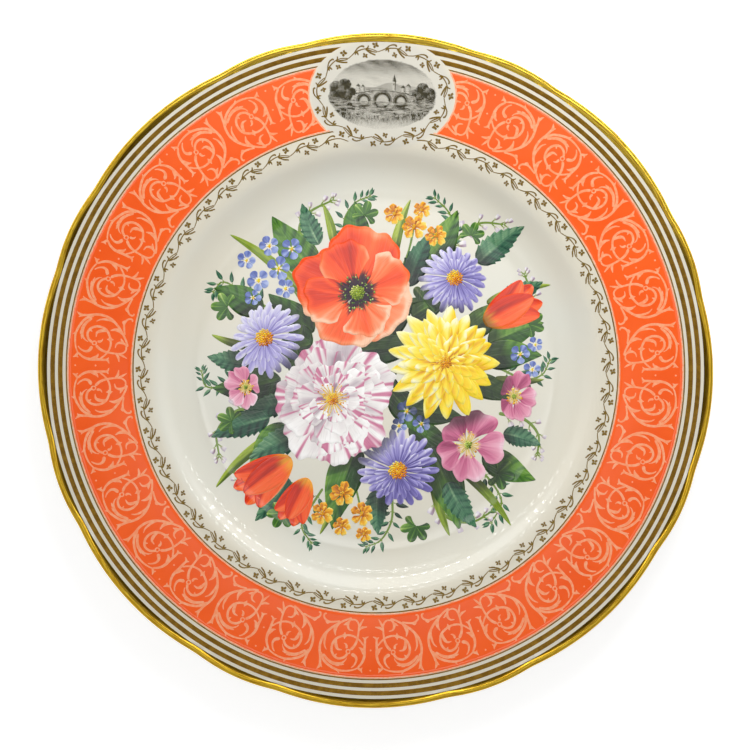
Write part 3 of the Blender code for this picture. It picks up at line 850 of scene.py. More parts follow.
# One motif: each stroke's widths, and its places as (mm along, mm out from the stem's middle line).
VINE_STROKES = [
    # the stem before the motif, and the long one through it with its curl and two buds
    ((0.3, 0.36, 0.6), [(1.2, -1.0), (3.8, 0.0), (5.8, 1.6), (7.2, 2.1), (8.2, 1.9), (8.0, 1.4)]),
    ((0.5, 0.34, 0.3), [(4.3, 0.3), (6.4, 0.65), (8.6, 0.8), (10.6, 0.45), (12.2, -0.3), (13.5, -1.0)]),
    ((0.5, 0.4, 0.5), [(8.9, 0.6), (9.7, 1.1), (10.1, 1.9)]),
    ((0.6, 0.6, 0.3), [(4.9, 0.6), (4.6, 0.0), (4.3, -0.7)]),
    ((0.6, 0.6, 0.3), [(5.0, 0.5), (5.4, -0.3), (5.4, -1.2)]),
    # two slim leaves and two flowers
    ((0.3, 0.5, 0.3), [(8.6, 0.7), (10.1, -0.1), (11.6, -0.8), (13.1, -1.15)]),
    ((0.3, 0.6, 0.5), [(8.7, 0.5), (9.8, -0.6), (11.1, -1.55), (12.5, -2.25)]),
    *flower_lobes((8.1, -1.8), 0.85, [(7.6, -0.7), (9.2, -1.6), (7.0, -2.4), (8.9, -2.9)]),
    *flower_lobes((12.6, 1.8), 1.0, [(11.5, 2.6), (12.0, 0.5), (13.4, 2.8), (13.9, 1.1)]),
]
EARLY_STROKES = (0, 3, 4)  # left out of the first motif
LATE_STROKES = (2, 5, 6, 11, 12, 13, 14)  # left out of the last
LOOP_HALF_WIDTH, LOOP_HALF_HEIGHT = 25.6, 18.0
LOOP_MOTIFS = 11
LOOP_START = -3.6  # mm along, from the top of the oval


def make_vines():
    """The vine along the verge's top, from the medallion's right round to its left, and the loop round it.

    Its first and last motifs are cut short. In the loop, mm along is measured round an oval, and mm out at
    right angles to it.
    """
    gold = line_enamel("vine_gold", VINE_GOLD, VINE_BROWN, 0.55, 0.26)
    oval = np.linspace(0, TURN, 721)
    edge = np.stack([LOOP_HALF_WIDTH * np.sin(oval), LOOP_HALF_HEIGHT * np.cos(oval)], -1)
    out = np.stack([np.sin(oval) / LOOP_HALF_WIDTH, np.cos(oval) / LOOP_HALF_HEIGHT], -1)
    out /= np.hypot(out[:, :1], out[:, 1:])
    way = way_along(edge)
    loop_pitch = way[-1] / LOOP_MOTIFS

    def off_oval(along, away):
        """The place that far round the oval, and that far out from it at right angles."""
        axes = (np.interp(along, way, edge[:, k]) + np.interp(along, way, out[:, k]) * away for k in (0, 1))
        return np.stack(list(axes), -1) + np.array([0, MEDALLION_RADIUS])

    vine, loop = Piece("verge_vine"), Piece("medallion_vine")
    for number, (widths, chosen) in enumerate(VINE_STROKES):
        motifs = np.arange(1 + (number in EARLY_STROKES), VINE_MOTIFS - 1 - (number in LATE_STROKES))
        starts = VINE_START + TURN / VINE_MOTIFS * motifs
        wide = [VINE_WEIGHT * width for width in widths]
        path = flowing(chosen, 5 + 2 * len(chosen))
        angle = starts[:, None] + path[:, 0] / VINE_RADIUS
        vine.add(*ribbon(clock(angle, VINE_RADIUS + path[:, 1]), wide))
        along = LOOP_START + loop_pitch * (np.arange(LOOP_MOTIFS)[:, None] + path[:, 0] / VINE_PITCH)
        loop.add(*ribbon(off_oval(along % way[-1], path[:, 1]), wide))
    vine.make(gold, "printed_gold")
    loop.make(gold, "printed_gold")


# ---------------------------------------------------------------- painting


def between(value, low, high):
    """0 below low, 1 above high, and t^2 (3 - 2 t) from one to the other."""
    share = np.clip((value - low) / (high - low), 0, 1)
    return share * share * (3 - 2 * share)


def coloured(stops, share):
    """Colours from 0 to 255 read off a run of (place, (red, green, blue)) stops."""
    places, colours = zip(*stops)
    colours = np.array(colours, float)
    return np.stack([np.interp(share, places, colours[:, k]) for k in range(3)], -1)


def mixed(first, second, share):
    """Colours part of the way from one to another."""
    return first + (np.array(second, float) - first) * share[..., None]


def mottled(x, y, size, seed):
    """Fractal noise from 0 to 1: random values on a lattice, joined by smooth steps, at three sizes."""
    lattice = np.random.default_rng(seed).random((64, 64))
    total = 0.0
    for octave in range(3):
        across, up = x * 2**octave / size, y * 2**octave / size
        column, row = np.floor(across), np.floor(up)
        s, t = between(across - column, 0, 1), between(up - row, 0, 1)
        left, low = column.astype(int) % 64, row.astype(int) % 64
        right, high = (left + 1) % 64, (low + 1) % 64
        below = lattice[low, left] * (1 - s) + lattice[low, right] * s
        above = lattice[high, left] * (1 - s) + lattice[high, right] * s
        total = total + (below * (1 - t) + above * t) / 2**octave
    return total / 1.75


# ---------------------------------------------------------------- the engraved view

VIEW_HALF_WIDTH, VIEW_HALF_HEIGHT = 21.9, 14.2
ENGRAVED_LINES = 98
ENGRAVED_POINTS = 380
INK_SPREAD, INK_LEAST = 1.34, 0.05
WATER_LINE = -2.6
BRIDGE_ARCHES = ((-7.4, 2.5), (0.0, 3.3), (7.4, 2.5))  # (middle, half span)
TREES = (  # (x, y, radius) of each crown
    (-18.4, 2.2, 3.2), (-15.2, 3.6, 2.7), (-16.6, 0.2, 2.6), (-12.6, 1.0, 1.9), (-19.6, -0.8, 2.2),
    (13.4, 0.9, 1.8), (16.0, 2.6, 2.6), (18.6, 0.9, 2.6), (19.7, -1.2, 2.0), (-13.7, -1.0, 1.7),
    (15.0, -0.9, 1.8),
)
HOUSES = (  # (middle, foot, half width, height of its wall)
    (-9.8, 1.5, 0.9, 1.6), (-7.9, 1.7, 0.8, 1.2), (8.2, 1.6, 0.9, 1.3), (10.3, 1.5, 1.0, 1.9),
)
TOWER = (4.6, 0.75, 5.2)  # (middle, half width, height of its eaves)


def inside(depth, soft):
    """0 outside an outline and 1 well inside it, for places that lie a given depth inside it."""
    return between(depth, 0, soft)


def over(tone, mask, dark):
    """A tone with another painted over it where the mask is 1."""
    return tone * (1 - mask) + np.clip(dark, 0, 1) * mask


def sky_and_hills(x, y):
    """Level streaks of cloud, darker to the top, over two ranges of hills that are sums of sines."""
    cloud = between(mottled(x + 1.6 * y, 3.2 * y, 7.0, 1), 0.42, 0.62)
    tone = 0.07 + 0.52 * between(y, 5.5, 13.5) * (1 - 0.55 * cloud) + 0.14 * between(y, 3.0, 9.0) * cloud
    tone += 0.10 * (mottled(x, 6 * y, 1.6, 2) - 0.5)
    far = 3.6 + 1.1 * np.sin(0.23 * x + 0.6) + 0.4 * np.sin(0.61 * x)
    tone = over(tone, inside(far - y, 0.3), 0.24 + 0.16 * mottled(x, y, 1.4, 3))
    near = 2.0 + 0.6 * np.sin(0.34 * x + 2.2) + 0.5 * mottled(x, y, 0.9, 4)
    return over(tone, inside(near - y, 0.3), 0.42 + 0.4 * (mottled(x, y, 0.8, 5) - 0.4))


def tower(tone, x, y):
    """A church tower with one window and a spire, lit from the left."""
    middle, half, eaves = TOWER
    x = x - middle
    wall = inside(half - np.abs(x), 0.15) * inside(eaves - y, 0.15)
    window = inside(0.2 - np.abs(x + 0.2), 0.1) * inside(0.45 - np.abs(y - 4.2), 0.1)
    tone = over(tone, wall, 0.16 + 0.5 * between(x, -0.1, 0.5))
    tone = over(tone, wall * window, 0.9)
    spire = inside(0.9 * (1 - (y - eaves) / 3.4) - np.abs(x), 0.12) * inside(y - eaves, 0.1)
    return over(tone, spire, 0.55 + 0.35 * between(x, -0.1, 0.2))


def houses(tone, x, y):
    """Gabled houses with rows of panes."""
    for middle, foot, half, rise in HOUSES:
        wall = inside(half - np.abs(x - middle), 0.12) * inside(foot + rise - y, 0.12) * (y > foot - 2)
        tone = over(tone, wall, 0.12 + 0.3 * between(x - middle, 0.1, 0.4))
        columns, rows = np.cos(TURN * (x - middle) / 0.62), np.cos(TURN * (y - foot) / 0.8)
        tone = over(tone, wall * between(columns, 0.2, 0.7) * between(rows, 0.2, 0.7), 0.8)
        gable = half * 1.2 - 0.9 * (y - foot - rise)
        tone = over(tone, inside(gable - np.abs(x - middle), 0.12) * (y > foot + rise), 0.72)
    return tone


def bridge(tone, x, y):
    """A bridge of coursed stone, its road a parabola over round arches."""
    road = 2.1 - 0.012 * x**2
    body = inside(road - y, 0.15) * inside(12.4 - np.abs(x), 0.3)
    joints = np.cos(TURN * (x / 1.3 + np.floor(y / 0.75) / 2))
    course = between(np.cos(TURN * y / 0.75), 0.75, 0.95) + between(joints, 0.9, 1)
    tone = over(tone, body, 0.26 + 0.22 * course + 0.25 * (mottled(x, y, 1.0, 6) - 0.5))
    tone = over(tone, body * inside(0.22 - np.abs(road - 0.55 - y), 0.1), 0.7)
    for middle, half in BRIDGE_ARCHES:
        reach = np.hypot(x - middle, (y - WATER_LINE) * 0.95)
        tone = over(tone, body * inside(0.35 - np.abs(reach - half - 0.3), 0.1), 0.62)
        tone = over(tone, body * inside(half - reach, 0.12), 0.95 - 0.75 * between(half - reach, 0.3, 1.3))
    return tone


def trees_and_bank(tone, x, y):
    """Crowns, each a disc with a mottled outline lit from the left, and a bank that rises to both sides."""
    for k, (cx, cy, radius) in enumerate(TREES):
        ragged = radius * (0.86 + 0.3 * mottled(x, y, 0.8, 10 + k))
        facing = ((cx - x) + 1.2 * (y - cy)) / radius
        leafy = mottled(x, y, 0.55, 30 + k)
        dark = 0.78 - 0.34 * facing * between(leafy, 0.35, 0.65) + 0.5 * (leafy - 0.5)
        tone = over(tone, inside(ragged - np.hypot(x - cx, (y - cy) * 1.1), 0.25), dark)
    bank = WATER_LINE + 1.1 * between(np.abs(x), 10.5, 19.0) + 0.5 * mottled(x, y, 0.7, 7)
    beside = inside(bank - y, 0.15) * between(np.abs(x), 9.5, 11.5)
    return over(tone, beside, 0.62 + 0.5 * (mottled(x, y, 0.6, 8) - 0.5))


def land_tone(x, y):
    """How dark the view above the water is at each place, from 0 to 1, painted from the sky forward."""
    tone = sky_and_hills(x, y)
    for paint in (tower, houses, bridge, trees_and_bank):
        tone = paint(tone, x, y)
    return tone


def view_tone(x, y):
    """The whole view's darkness, in an oval with a soft edge.

    The water repeats what stands on it, upside down and paler, in level streaks, and reeds stand before it.
    """
    depth = WATER_LINE - y
    mirrored = land_tone(x + 0.5 * np.sin(5 * y) * depth / 8, WATER_LINE + np.maximum(depth, 0) * 1.15)
    ripple = between(mottled(x * 0.35, 3.4 * y, 0.9, 9), 0.38, 0.66)
    water = (0.36 + 0.5 * mirrored) * (0.55 + 0.55 * ripple)
    tone = np.where(depth > 0, water, land_tone(x, y))
    shore = -9.6 + 2.6 * between(np.abs(x + 1.5), 5.0, 17.0) + 0.9 * mottled(x, y, 0.8, 20)
    reeds = between(shore + 1.3 * between(mottled(x * 3.2, y * 0.3, 0.9, 21), 0.5, 0.8) - y, 0, 0.4)
    tone = tone * (1 - reeds) + reeds * (0.66 + 0.8 * (mottled(x * 1.6, y * 0.8, 0.7, 22) - 0.5))
    reach = np.hypot(x / VIEW_HALF_WIDTH, y / VIEW_HALF_HEIGHT) + 0.05 * (mottled(x, y, 1.2, 23) - 0.5)
    fade = between(1 - reach, 0, 0.045) * (1 - 0.9 * between(-y, 7.5, 13.6))
    return np.clip(tone, 0, 1) * fade


def make_engraving():
    """A line engraving: level lines of ink, each as wide as its pitch times INK_SPREAD times the tone."""
    rows = np.linspace(-VIEW_HALF_HEIGHT, VIEW_HALF_HEIGHT, ENGRAVED_LINES)
    pitch = rows[1] - rows[0]
    x = np.linspace(-VIEW_HALF_WIDTH, VIEW_HALF_WIDTH, ENGRAVED_POINTS)
    wave = 0.1 * np.sin(0.9 * x + rows[:, None])
    tone = view_tone(x, rows[:, None] + wave)
    half = pitch * INK_SPREAD * tone * (1 + SINK / FILM) / 2
    across = np.array([-1.0, 0.0, 1.0])[:, None]
    y = (rows[:, None] + wave)[:, None] + half[:, None] * across + MEDALLION_RADIUS
    plan = np.stack(np.broadcast_arrays(x, y), -1)
    lift = np.where(across == 0, FILM, -SINK)
    thin = np.broadcast_to(tone[:, None] < INK_LEAST, y.shape)
    view = Piece("medallion_engraving")
    view.add(laid(plan, lift), hidden=thin)
    view.make(line_enamel("engraving_ink", INK, PALE_INK), "grey_print", ["medallion_print"])


# ---------------------------------------------------------------- the flower spray

PAINTED_LIGHT = np.array([-0.5, 0.55, 0.67])  # the light painted into the flowers comes from the upper left
BRUSH_RATES = ((6.0, 1.0), (11.0, -1.6), (19.0, 2.2), (31.0, -1.2))
DAB_SHADE = 0.45
RING_STEP = 0.008  # from one ring of petals to the next above it, in mm
LEAF_STEP = 0.002
PETAL_TILT = 0.003  # how far a petal's sides rise and fall, so that it lies over the next
SPRIG_STEPS = 40

# Paints, as stops of (tone, (red, green, blue)) from dark to light, and plain greens for stalks.
YELLOWS = [(0, (176, 104, 6)), (0.22, (228, 162, 8)), (0.45, (250, 206, 18)), (0.7, (253, 228, 58)),
           (0.88, (253, 240, 136)), (1, (255, 250, 205))]
ORANGES = [(0, (150, 24, 8)), (0.2, (214, 46, 14)), (0.45, (250, 78, 22)), (0.68, (255, 108, 50)),
           (0.86, (255, 150, 104)), (1, (255, 204, 170))]
WHITES = [(0, (150, 124, 138)), (0.25, (196, 182, 188)), (0.5, (228, 221, 220)), (0.75, (244, 240, 237)),
          (1, (255, 253, 251))]
PINKS = [(0, (150, 52, 94)), (0.3, (200, 100, 138)), (0.55, (226, 146, 172)), (0.8, (242, 186, 204)),
         (1, (253, 232, 238))]
LILACS = [(0, (86, 78, 146)), (0.25, (122, 113, 182)), (0.5, (155, 147, 208)), (0.75, (190, 184, 228)),
          (1, (232, 230, 246))]
BLUES = [(0, (62, 74, 138)), (0.35, (102, 120, 188)), (0.65, (146, 163, 216)), (1, (210, 221, 244))]
GOLDS = [(0, (140, 66, 6)), (0.3, (206, 120, 10)), (0.55, (240, 164, 20)), (0.8, (252, 200, 54)),
         (1, (255, 232, 134))]
GREENS = [(0, (24, 54, 24)), (0.25, (46, 88, 34)), (0.5, (78, 126, 44)), (0.75, (128, 168, 68)),
          (1, (204, 218, 140))]
BLUE_GREENS = [(0, (20, 48, 40)), (0.3, (38, 86, 64)), (0.55, (74, 124, 90)), (0.8, (128, 166, 124)),
               (1, (200, 216, 182))]
LIME_GREENS = [(0, (64, 86, 22)), (0.3, (112, 138, 36)), (0.6, (160, 180, 62)), (1, (224, 228, 144))]
STEM_GREEN, SPRIG_GREEN, STALK_GREEN = (104, 134, 52), (112, 140, 56), (126, 150, 68)


def lit(plan, relief):
    """How strongly the painted light falls on imagined relief: its normal . the light, 1 where level."""
    form = np.concatenate([plan, relief[..., None]], -1)
    along, across = np.gradient(form, axis=(-3, -2))
    normal = np.cross(across, along)
    normal *= np.where(normal[..., 2:] < 0, -1, 1)
    normal /= np.maximum(np.linalg.norm(normal, axis=-1, keepdims=True), 1e-12)
    return normal @ PAINTED_LIGHT / PAINTED_LIGHT[2]


def leaning(plan, relief, toward, angle):
    """Plan and relief turned by an angle about a level line, to face a clock angle, both in degrees."""
    way = clock(math.radians(toward), 1.0)
    cos, sin = math.cos(math.radians(angle)), math.sin(math.radians(angle))
    run = plan @ way
    return plan + (run * (cos - 1) + relief * sin)[..., None] * way, relief * cos - run * sin


def brushed(u, v, seed):
    """Brush streaks from -1 to 1: the mean of sines across a petal that wander as they run along it."""
    return sum(np.sin(rate * (u + seed) + drift * v) for rate, drift in BRUSH_RATES) / len(BRUSH_RATES)


def spaced(low, high, count):
    """Even values from low to high, with a narrow first and last step for the edge of a layer."""
    rim = 0.02 * (high - low)
    return np.concatenate([[low], np.linspace(low + rim, high - rim, count), [high]])


def shade_under(plan, blooms):
    """How deep in the shade of blooms (x, y, size) a place lies: 1 inside, 0 from 4 mm outside.

    The shade falls to a bloom's lower right, by (1.2, -1.6) mm.
    """
    dark = 0.0
    for x, y, size in blooms:
        reach = np.hypot(plan[..., 0] - x - 1.2, plan[..., 1] - y + 1.6)
        dark = np.maximum(dark, between(reach, size + 4.0, size - 2.0))
    return dark


def layer(piece, plan, lift, grain, colours, blooms):
    """Adds painted grids to a piece as thin layers, shaded by the blooms above, with their outlines sunk."""
    lift = np.broadcast_to(lift, plan.shape[:-1]).copy()
    lift[..., [0, -1], :] = -SINK
    lift[..., [0, -1]] = -SINK
    shade = 1 - 0.5 * np.asarray(shade_under(plan, blooms))
    piece.add(laid(plan, lift), grain, linear(np.clip(colours * shade[..., None], 0, 255)))


def round_tip(u, wave):
    """A round petal's reach across its width: 0.6 + 0.4 sqrt(1 - u^2)."""
    return 0.6 + 0.4 * np.sqrt(np.clip(1 - u**2, 0, 1))


def ruffled_tip(u, wave):
    """A round tip with sines of two pitches along it."""
    return round_tip(u, wave) + 0.035 * np.sin(7 * u + 5 * wave) + 0.02 * np.sin(17 * u + 11 * wave)


def heart_tip(u, wave):
    """A round tip with a bell-shaped notch at its middle."""
    return round_tip(u, wave) - 0.13 * np.exp(-((u / 0.24) ** 2)) + 0.015 * np.sin(9 * u + 5 * wave)


def pointed_tip(u, wave):
    """A pointed tip: 1 - 0.42 |u|^1.3."""
    return 1 - 0.42 * np.abs(u) ** 1.3


def lobed_tip(u, wave):
    """An ivy leaf's five lobes: (0.5 + 0.5 |cos 2.3 pi u|^0.7)(1 - 0.3 u^2)."""
    return (0.5 + 0.5 * np.abs(np.cos(2.3 * math.pi * u)) ** 0.7) * (1 - 0.3 * u**2)


def bloom(piece, flower, rings, tip, paint, lift, turn, cup, grid, ruffle=0.05, lean=(0.0, 0.0), seed=0,
          waist=0.5, heart=0.08, scatter=0.12, blooms=()):
    """A flower (x, y, size) of rings of petals, each ring (how many, reach as a share of size, half angle).

    At u from -1 to 1 across a petal and v from 0 to 1 along it, a point lies
    size reach (heart + (1 - heart) v tip(u)) from the middle, at the petal's clock angle
    + half angle u (0.1 + 0.9 v)^waist. It is imagined to rise by size (cup d^2 + ruffle v^2 sin 5u), d being
    that distance over size. A petal lies over the one after it because its lift falls with u. grid is how
    many rows and columns a petal has.
    """
    random = np.random.default_rng(seed)
    x, y, size = flower
    rows, columns = grid
    u, v = spaced(-1, 1, columns), spaced(0, 1, rows)[:, None]
    for order, (count, reach, half_angle) in enumerate(rings):
        each = (count, 1, 1)
        wave = random.uniform(0, 6, each)
        step = np.arange(count).reshape(each) + 0.5 * order + random.uniform(-scatter, scatter, each)
        length = size * reach * random.uniform(0.92, 1.04, each)
        away = length * (heart + (1 - heart) * v * tip(u, wave))
        angle = turn + TURN / count * step + half_angle * u * (0.1 + 0.9 * v) ** waist
        relief = size * (cup * (away / size) ** 2 + ruffle * v**2 * np.sin(5 * u + 7 * wave))
        plan, relief = leaning(clock(angle, away), relief, *lean)
        colours = paint(u, np.broadcast_to(v, away.shape), lit(plan, relief), brushed(u, v, wave), wave)
        grain = np.stack(np.broadcast_arrays(half_angle * u * away, v * length, wave), -1)
        height = lift + RING_STEP * order - PETAL_TILT * u
        layer(piece, plan + np.array([x, y]), height, grain, colours, blooms)


def petal_painter(stops, depth, rim, under, brush=0.12, form=0.5, pale=0.0, heart=None):
    """A petal's paint: darker at its base and under its neighbour, streaked, with a lighter rim.

    heart is its colour at its base, how strong and how ragged that is, and where it ends and is whole.
    """
    def paint(u, v, light, streak, wave):
        edge = np.maximum(np.abs(u) * between(v, 0.2, 0.6), v)
        tone = 0.5 + pale + depth * (v - 0.5) + form * (light - 1) + brush * streak * (1.3 - v)
        tone = tone + rim * between(edge, 0.82, 0.96) - under * between(u, -0.1, 0.9)
        colours = coloured(stops, tone)
        if heart:
            colour, strength, ragged, end, whole = heart
            colours = mixed(colours, colour, strength * between(v + ragged * streak, end, whole))
        return colours
    return paint


AMBER_HEART = ((214, 110, 12), 0.6, 0.0, 0.32, 0.05)
DARK_HEART = ((54, 16, 34), 1.0, 0.08, 0.34, 0.2)
CREAM_HEART = ((250, 240, 190), 0.85, 0.0, 0.36, 0.16)
WHITE_HEART = ((250, 244, 230), 1.0, 0.0, 0.34, 0.2)

yellow_petal = petal_painter(YELLOWS, 0.5, 0.16, 0.2, 0.12, 0.42, 0.08, AMBER_HEART)
orange_petal = petal_painter(ORANGES, 0.35, 0.22, 0.16, 0.2, 0.6, 0.0, DARK_HEART)
white_petal = petal_painter(WHITES, 0.45, 0.14, 0.3, 0.08, 0.42, 0.16)
pink_petal = petal_painter(PINKS, 0.3, 0.16, 0.2, 0.2, 0.35, 0.04, CREAM_HEART)
lilac_petal = petal_painter(LILACS, 0.45, 0.2, 0.2, 0.18, 0.6)
blue_petal = petal_painter(BLUES, 0.2, 0.1, 0.1, 0.12, 0.6, 0.0, WHITE_HEART)
gold_petal = petal_painter(GOLDS, 0.55, 0.2, 0.24)


def peony_petal(u, v, light, streak, wave):
    """White with magenta flames along it and a magenta base."""
    flame = between(streak + 0.3 * np.sin(31 * wave) + 0.35 * (v - 1), 0.12, 0.42) * between(v, 0.3, 0.75)
    colours = mixed(white_petal(u, v, light, streak, wave), (196, 92, 132), 0.8 * flame)
    return mixed(colours, (204, 104, 136), 0.8 * between(v + 0.12 * streak, 0.36, 0.1))


def ivy_leaf(u, v, light, streak, wave):
    """Lobes lit on their left, with a pale vein along each."""
    lobe = np.abs(np.cos(2.3 * math.pi * u))
    tone = 0.42 + 0.5 * (light - 1) + 0.1 * np.sin(4.6 * math.pi * u) * v + 0.1 * streak - 0.15 * (1 - v)
    tone = tone + 0.34 * between(lobe + 0.004 * (1 - v), 0.97, 0.999) + 0.14 * between(v, 0.88, 0.97)
    return coloured(GREENS, tone)


def dots(piece, places, sizes, colours, lift):
    """Small round dabs: rings at 0, 0.75 and 1 times the radius, light at the upper left of each."""
    sizes = np.broadcast_to(sizes, len(places))[:, None, None, None]
    ring = np.array([0.0, 0.75, 1.0])[:, None, None] * clock(np.linspace(0, TURN, 9), 1.0)
    plan = places[:, None, None] + sizes / 2 * ring
    glow = 1 + DAB_SHADE * (ring @ PAINTED_LIGHT[:2])
    lifts = np.broadcast_to(np.array([lift + 0.005, lift, -SINK])[:, None], plan.shape[:-1])
    piece.add(laid(plan, lifts), paint=linear(np.clip(colours[:, None, None] * glow[..., None], 0, 255)))


def seed_head(piece, place, size, stops, lift, count, seed):
    """A flower's eye: dabs on a sunflower spiral, dab k lying size sqrt(k / count) out, a golden angle on."""
    k = np.arange(count) + 0.5
    golden = math.pi * (3 - math.sqrt(5))
    spot = clock(k * golden, size * np.sqrt(k / count))
    grit = np.random.default_rng(seed).uniform(-0.2, 0.2, count)
    tone = 0.5 + 0.45 * (spot @ PAINTED_LIGHT[:2]) / size + grit
    dots(piece, spot + np.array(place), 2.4 * size / math.sqrt(count), coloured(stops, tone), lift)


def stamens(piece, place, reach, count, stalk, anthers, lift, seed, spread=0.3):
    """Fine stalks from a flower's middle, each with an anther's dab at its tip."""
    random = np.random.default_rng(seed)
    angle = TURN * (np.arange(count) + random.uniform(-0.4, 0.4, count)) / count
    length = reach * random.uniform(1 - spread, 1 + spread, count)
    share = np.linspace(0.25, 1, 7)
    curl = random.uniform(-0.25, 0.25, (count, 1))
    path = clock(angle[:, None] + curl * share**2, length[:, None] * share) + np.array(place)
    points, grain = ribbon(path, (0.2, 0.22, 0.2), lift, 0.012)
    piece.add(points, grain, linear(stalk))
    tint = coloured(anthers, random.uniform(0.2, 1, count))
    dots(piece, path[:, -1], random.uniform(0.55, 0.95, count), tint, lift + 0.015)


def blades(piece, leaves, paint, lift, outline, fold, pucker=0.0, veins=6.0, grid=(40, 9), seed=0, blooms=()):
    """Leaves or petals on bent middle lines: (x, y, clock angle, length, width, bend), angles in degrees.

    The middle line's direction turns evenly by the bend from base to tip. At u from -1 to 1 across, a point
    lies u width / 2 outline(v) from it. The imagined relief falls by fold times that to each side of the
    middle and is puckered between the side veins, where veins v - 0.8 |u| is whole.
    """
    leaf = np.array(leaves, float)
    x, y, angle, length, width, bend = (leaf[:, k].reshape(-1, 1, 1) for k in range(6))
    rows, columns = grid
    u, v = spaced(-1, 1, columns), spaced(0, 1, rows)[:, None]
    way = np.radians(angle + bend * (v - 0.5))
    step = length * np.diff(v, axis=0, prepend=0)[None]
    spine = np.stack([x + np.cumsum(step * np.sin(way), -2), y + np.cumsum(step * np.cos(way), -2)], -1)
    half = width / 2 * outline(v)
    plan = spine + (u * half)[..., None] * np.stack([np.cos(way), -np.sin(way)], -1)
    swell = np.sin(math.pi * (veins * v - 0.8 * np.abs(u))) ** 2
    relief = -fold * np.abs(u) * half + pucker * width / 2 * swell * np.abs(u) ** 0.5
    wave = np.random.default_rng(seed).uniform(0, 6, x.shape)
    colours = paint(u, np.broadcast_to(v, half.shape), lit(plan, relief), brushed(u, v, wave), wave, swell)
    grain = np.stack(np.broadcast_arrays(u * half, v * length, wave), -1)
    order = LEAF_STEP * (np.arange(len(leaf)) % 7).reshape(-1, 1, 1)
    layer(piece, plan, lift + order, grain, colours, blooms)


def leaf_outline(v):
    """sin(pi v^0.75)^0.85 (1 - v / 4): broadest a little before the middle, with a drawn-out tip."""
    return np.sin(math.pi * v**0.75) ** 0.85 * (1 - 0.25 * v) + 0.004


def toothed_outline(v):
    """The leaf's outline cut back by nine teeth that point to the tip."""
    return leaf_outline(v) * (1 - 0.2 * (1 - (9 * v) % 1) * between(v, 0.08, 0.2))


def strap_outline(v, swell=0.6):
    """sin(pi v^swell)^0.6: even and narrow, tapered at both ends."""
    return np.sin(math.pi * v**swell) ** 0.6 + 0.01


def tulip_outline(v):
    """A strap fullest at its middle."""
    return strap_outline(v, 0.85)


def bell_outline(v):
    """A bell: narrow at its stalk, full, and flared at its mouth."""
    return 0.25 + 0.62 * np.sin(math.pi * v * 0.72) ** 0.8 + 0.1 * v


def leaf_painter(stops, vein=0.3):
    """A leaf's paint: two halves in different light, paler to its edge, with a pale midrib and side veins."""
    def paint(u, v, light, streak, wave, swell):
        tone = 0.4 + 0.5 * (light - 1) + 0.07 * streak + 0.1 * (swell - 0.5) + 0.12 * (v - 0.5)
        tone = tone + 0.08 * np.sin(3 * wave) + vein * between(np.abs(u) + 0.3 * v, 0.2, 0.06)
        tone = tone + vein * 0.45 * between(swell, 0.12, 0.01) + 0.12 * between(np.abs(u), 0.84, 0.95)
        return coloured(stops, tone)
    return paint


def tulip_petal(u, v, light, streak, wave, swell):
    """Orange with a yellow base and lighter sides."""
    tone = 0.5 + 0.6 * (light - 1) + 0.16 * streak + 0.2 * between(np.abs(u), 0.8, 0.96) - 0.15 * (1 - v)
    return mixed(coloured(ORANGES, tone), (246, 190, 40), 0.75 * between(v + 0.12 * streak, 0.3, 0.05))


def bell_petal(u, v, light, streak, wave, swell):
    """White with a lilac mouth and a green base."""
    colours = coloured(WHITES, 0.5 + 0.6 * (light - 1) + 0.3 * (v - 0.5) + 0.1 * streak)
    colours = mixed(colours, (178, 160, 196), 0.4 * between(v, 0.5, 0.95))
    return mixed(colours, (150, 168, 90), 0.8 * between(v, 0.35, 0.05))


def sprig(stems, tips, path, size, lift, paint, outline, pairs, slant, stalk, plump, seed, blooms=(), **form):
    """A thin arching stem with bells or leaflets on stalks to both sides, smaller to its tip.

    size is a leaflet's length in mm, slant its angle to the stem in degrees, and stalk and plump its stalk's
    length and its own width as shares of its length.
    """
    random = np.random.default_rng(seed)
    spine = flowing(path, SPRIG_STEPS)
    points, grain = ribbon(spine, (0.55, 0.45, 0.25), lift, 0.006)
    stems.add(points, grain, linear(SPRIG_GREEN))
    share = np.repeat(np.linspace(0.2, 1, pairs), 2)
    places = np.linspace(0, 1, SPRIG_STEPS)
    root = np.stack([np.interp(share, places, spine[:, k]) for k in (0, 1)], -1)
    side = np.tile([1, -1], pairs)
    step = np.gradient(spine, axis=0)
    along = np.arctan2(*(np.interp(share, places, step[:, k]) for k in (0, 1)))
    heading = np.degrees(along) + side * slant * random.uniform(0.8, 1.2, 2 * pairs) * (1.1 - 0.5 * share)
    reach = size * random.uniform(0.85, 1.15, 2 * pairs) * (1.15 - 0.55 * share)
    stretch = clock(np.radians(heading), 1.0) * reach[:, None] * stalk
    points, grain = ribbon(root[:, None] + stretch[:, None] * np.linspace(0, 1, 5)[:, None],
                           (0.26, 0.22, 0.22), lift, 0.007)
    stems.add(points, grain, linear(STALK_GREEN))
    grown = np.column_stack([root + stretch * 0.9, heading, reach, reach * plump, 14 * side])
    blades(tips, grown, paint, lift + 0.01, outline, seed=seed, blooms=blooms, **form)


# The spray's layout, in mm from the well's middle. Blooms: (x, y, size).
PEONY = (-17.0, -12.0, 26.0)
PEONY_RINGS = [(7, 1, 0.6), (7, 0.86, 0.6), (6, 0.7, 0.62), (6, 0.55, 0.62), (5, 0.41, 0.7), (5, 0.28, 0.7)]
POPPY = (-8.0, 31.0, 25.0)
DAHLIA = (28.0, 4.0, 23.5)
DAHLIA_RINGS = [
    (17, 1, 0.23), (16, 0.86, 0.24), (14, 0.71, 0.26), (12, 0.55, 0.29), (9, 0.39, 0.36), (7, 0.25, 0.45),
]
LARGE = [PEONY, POPPY, DAHLIA]
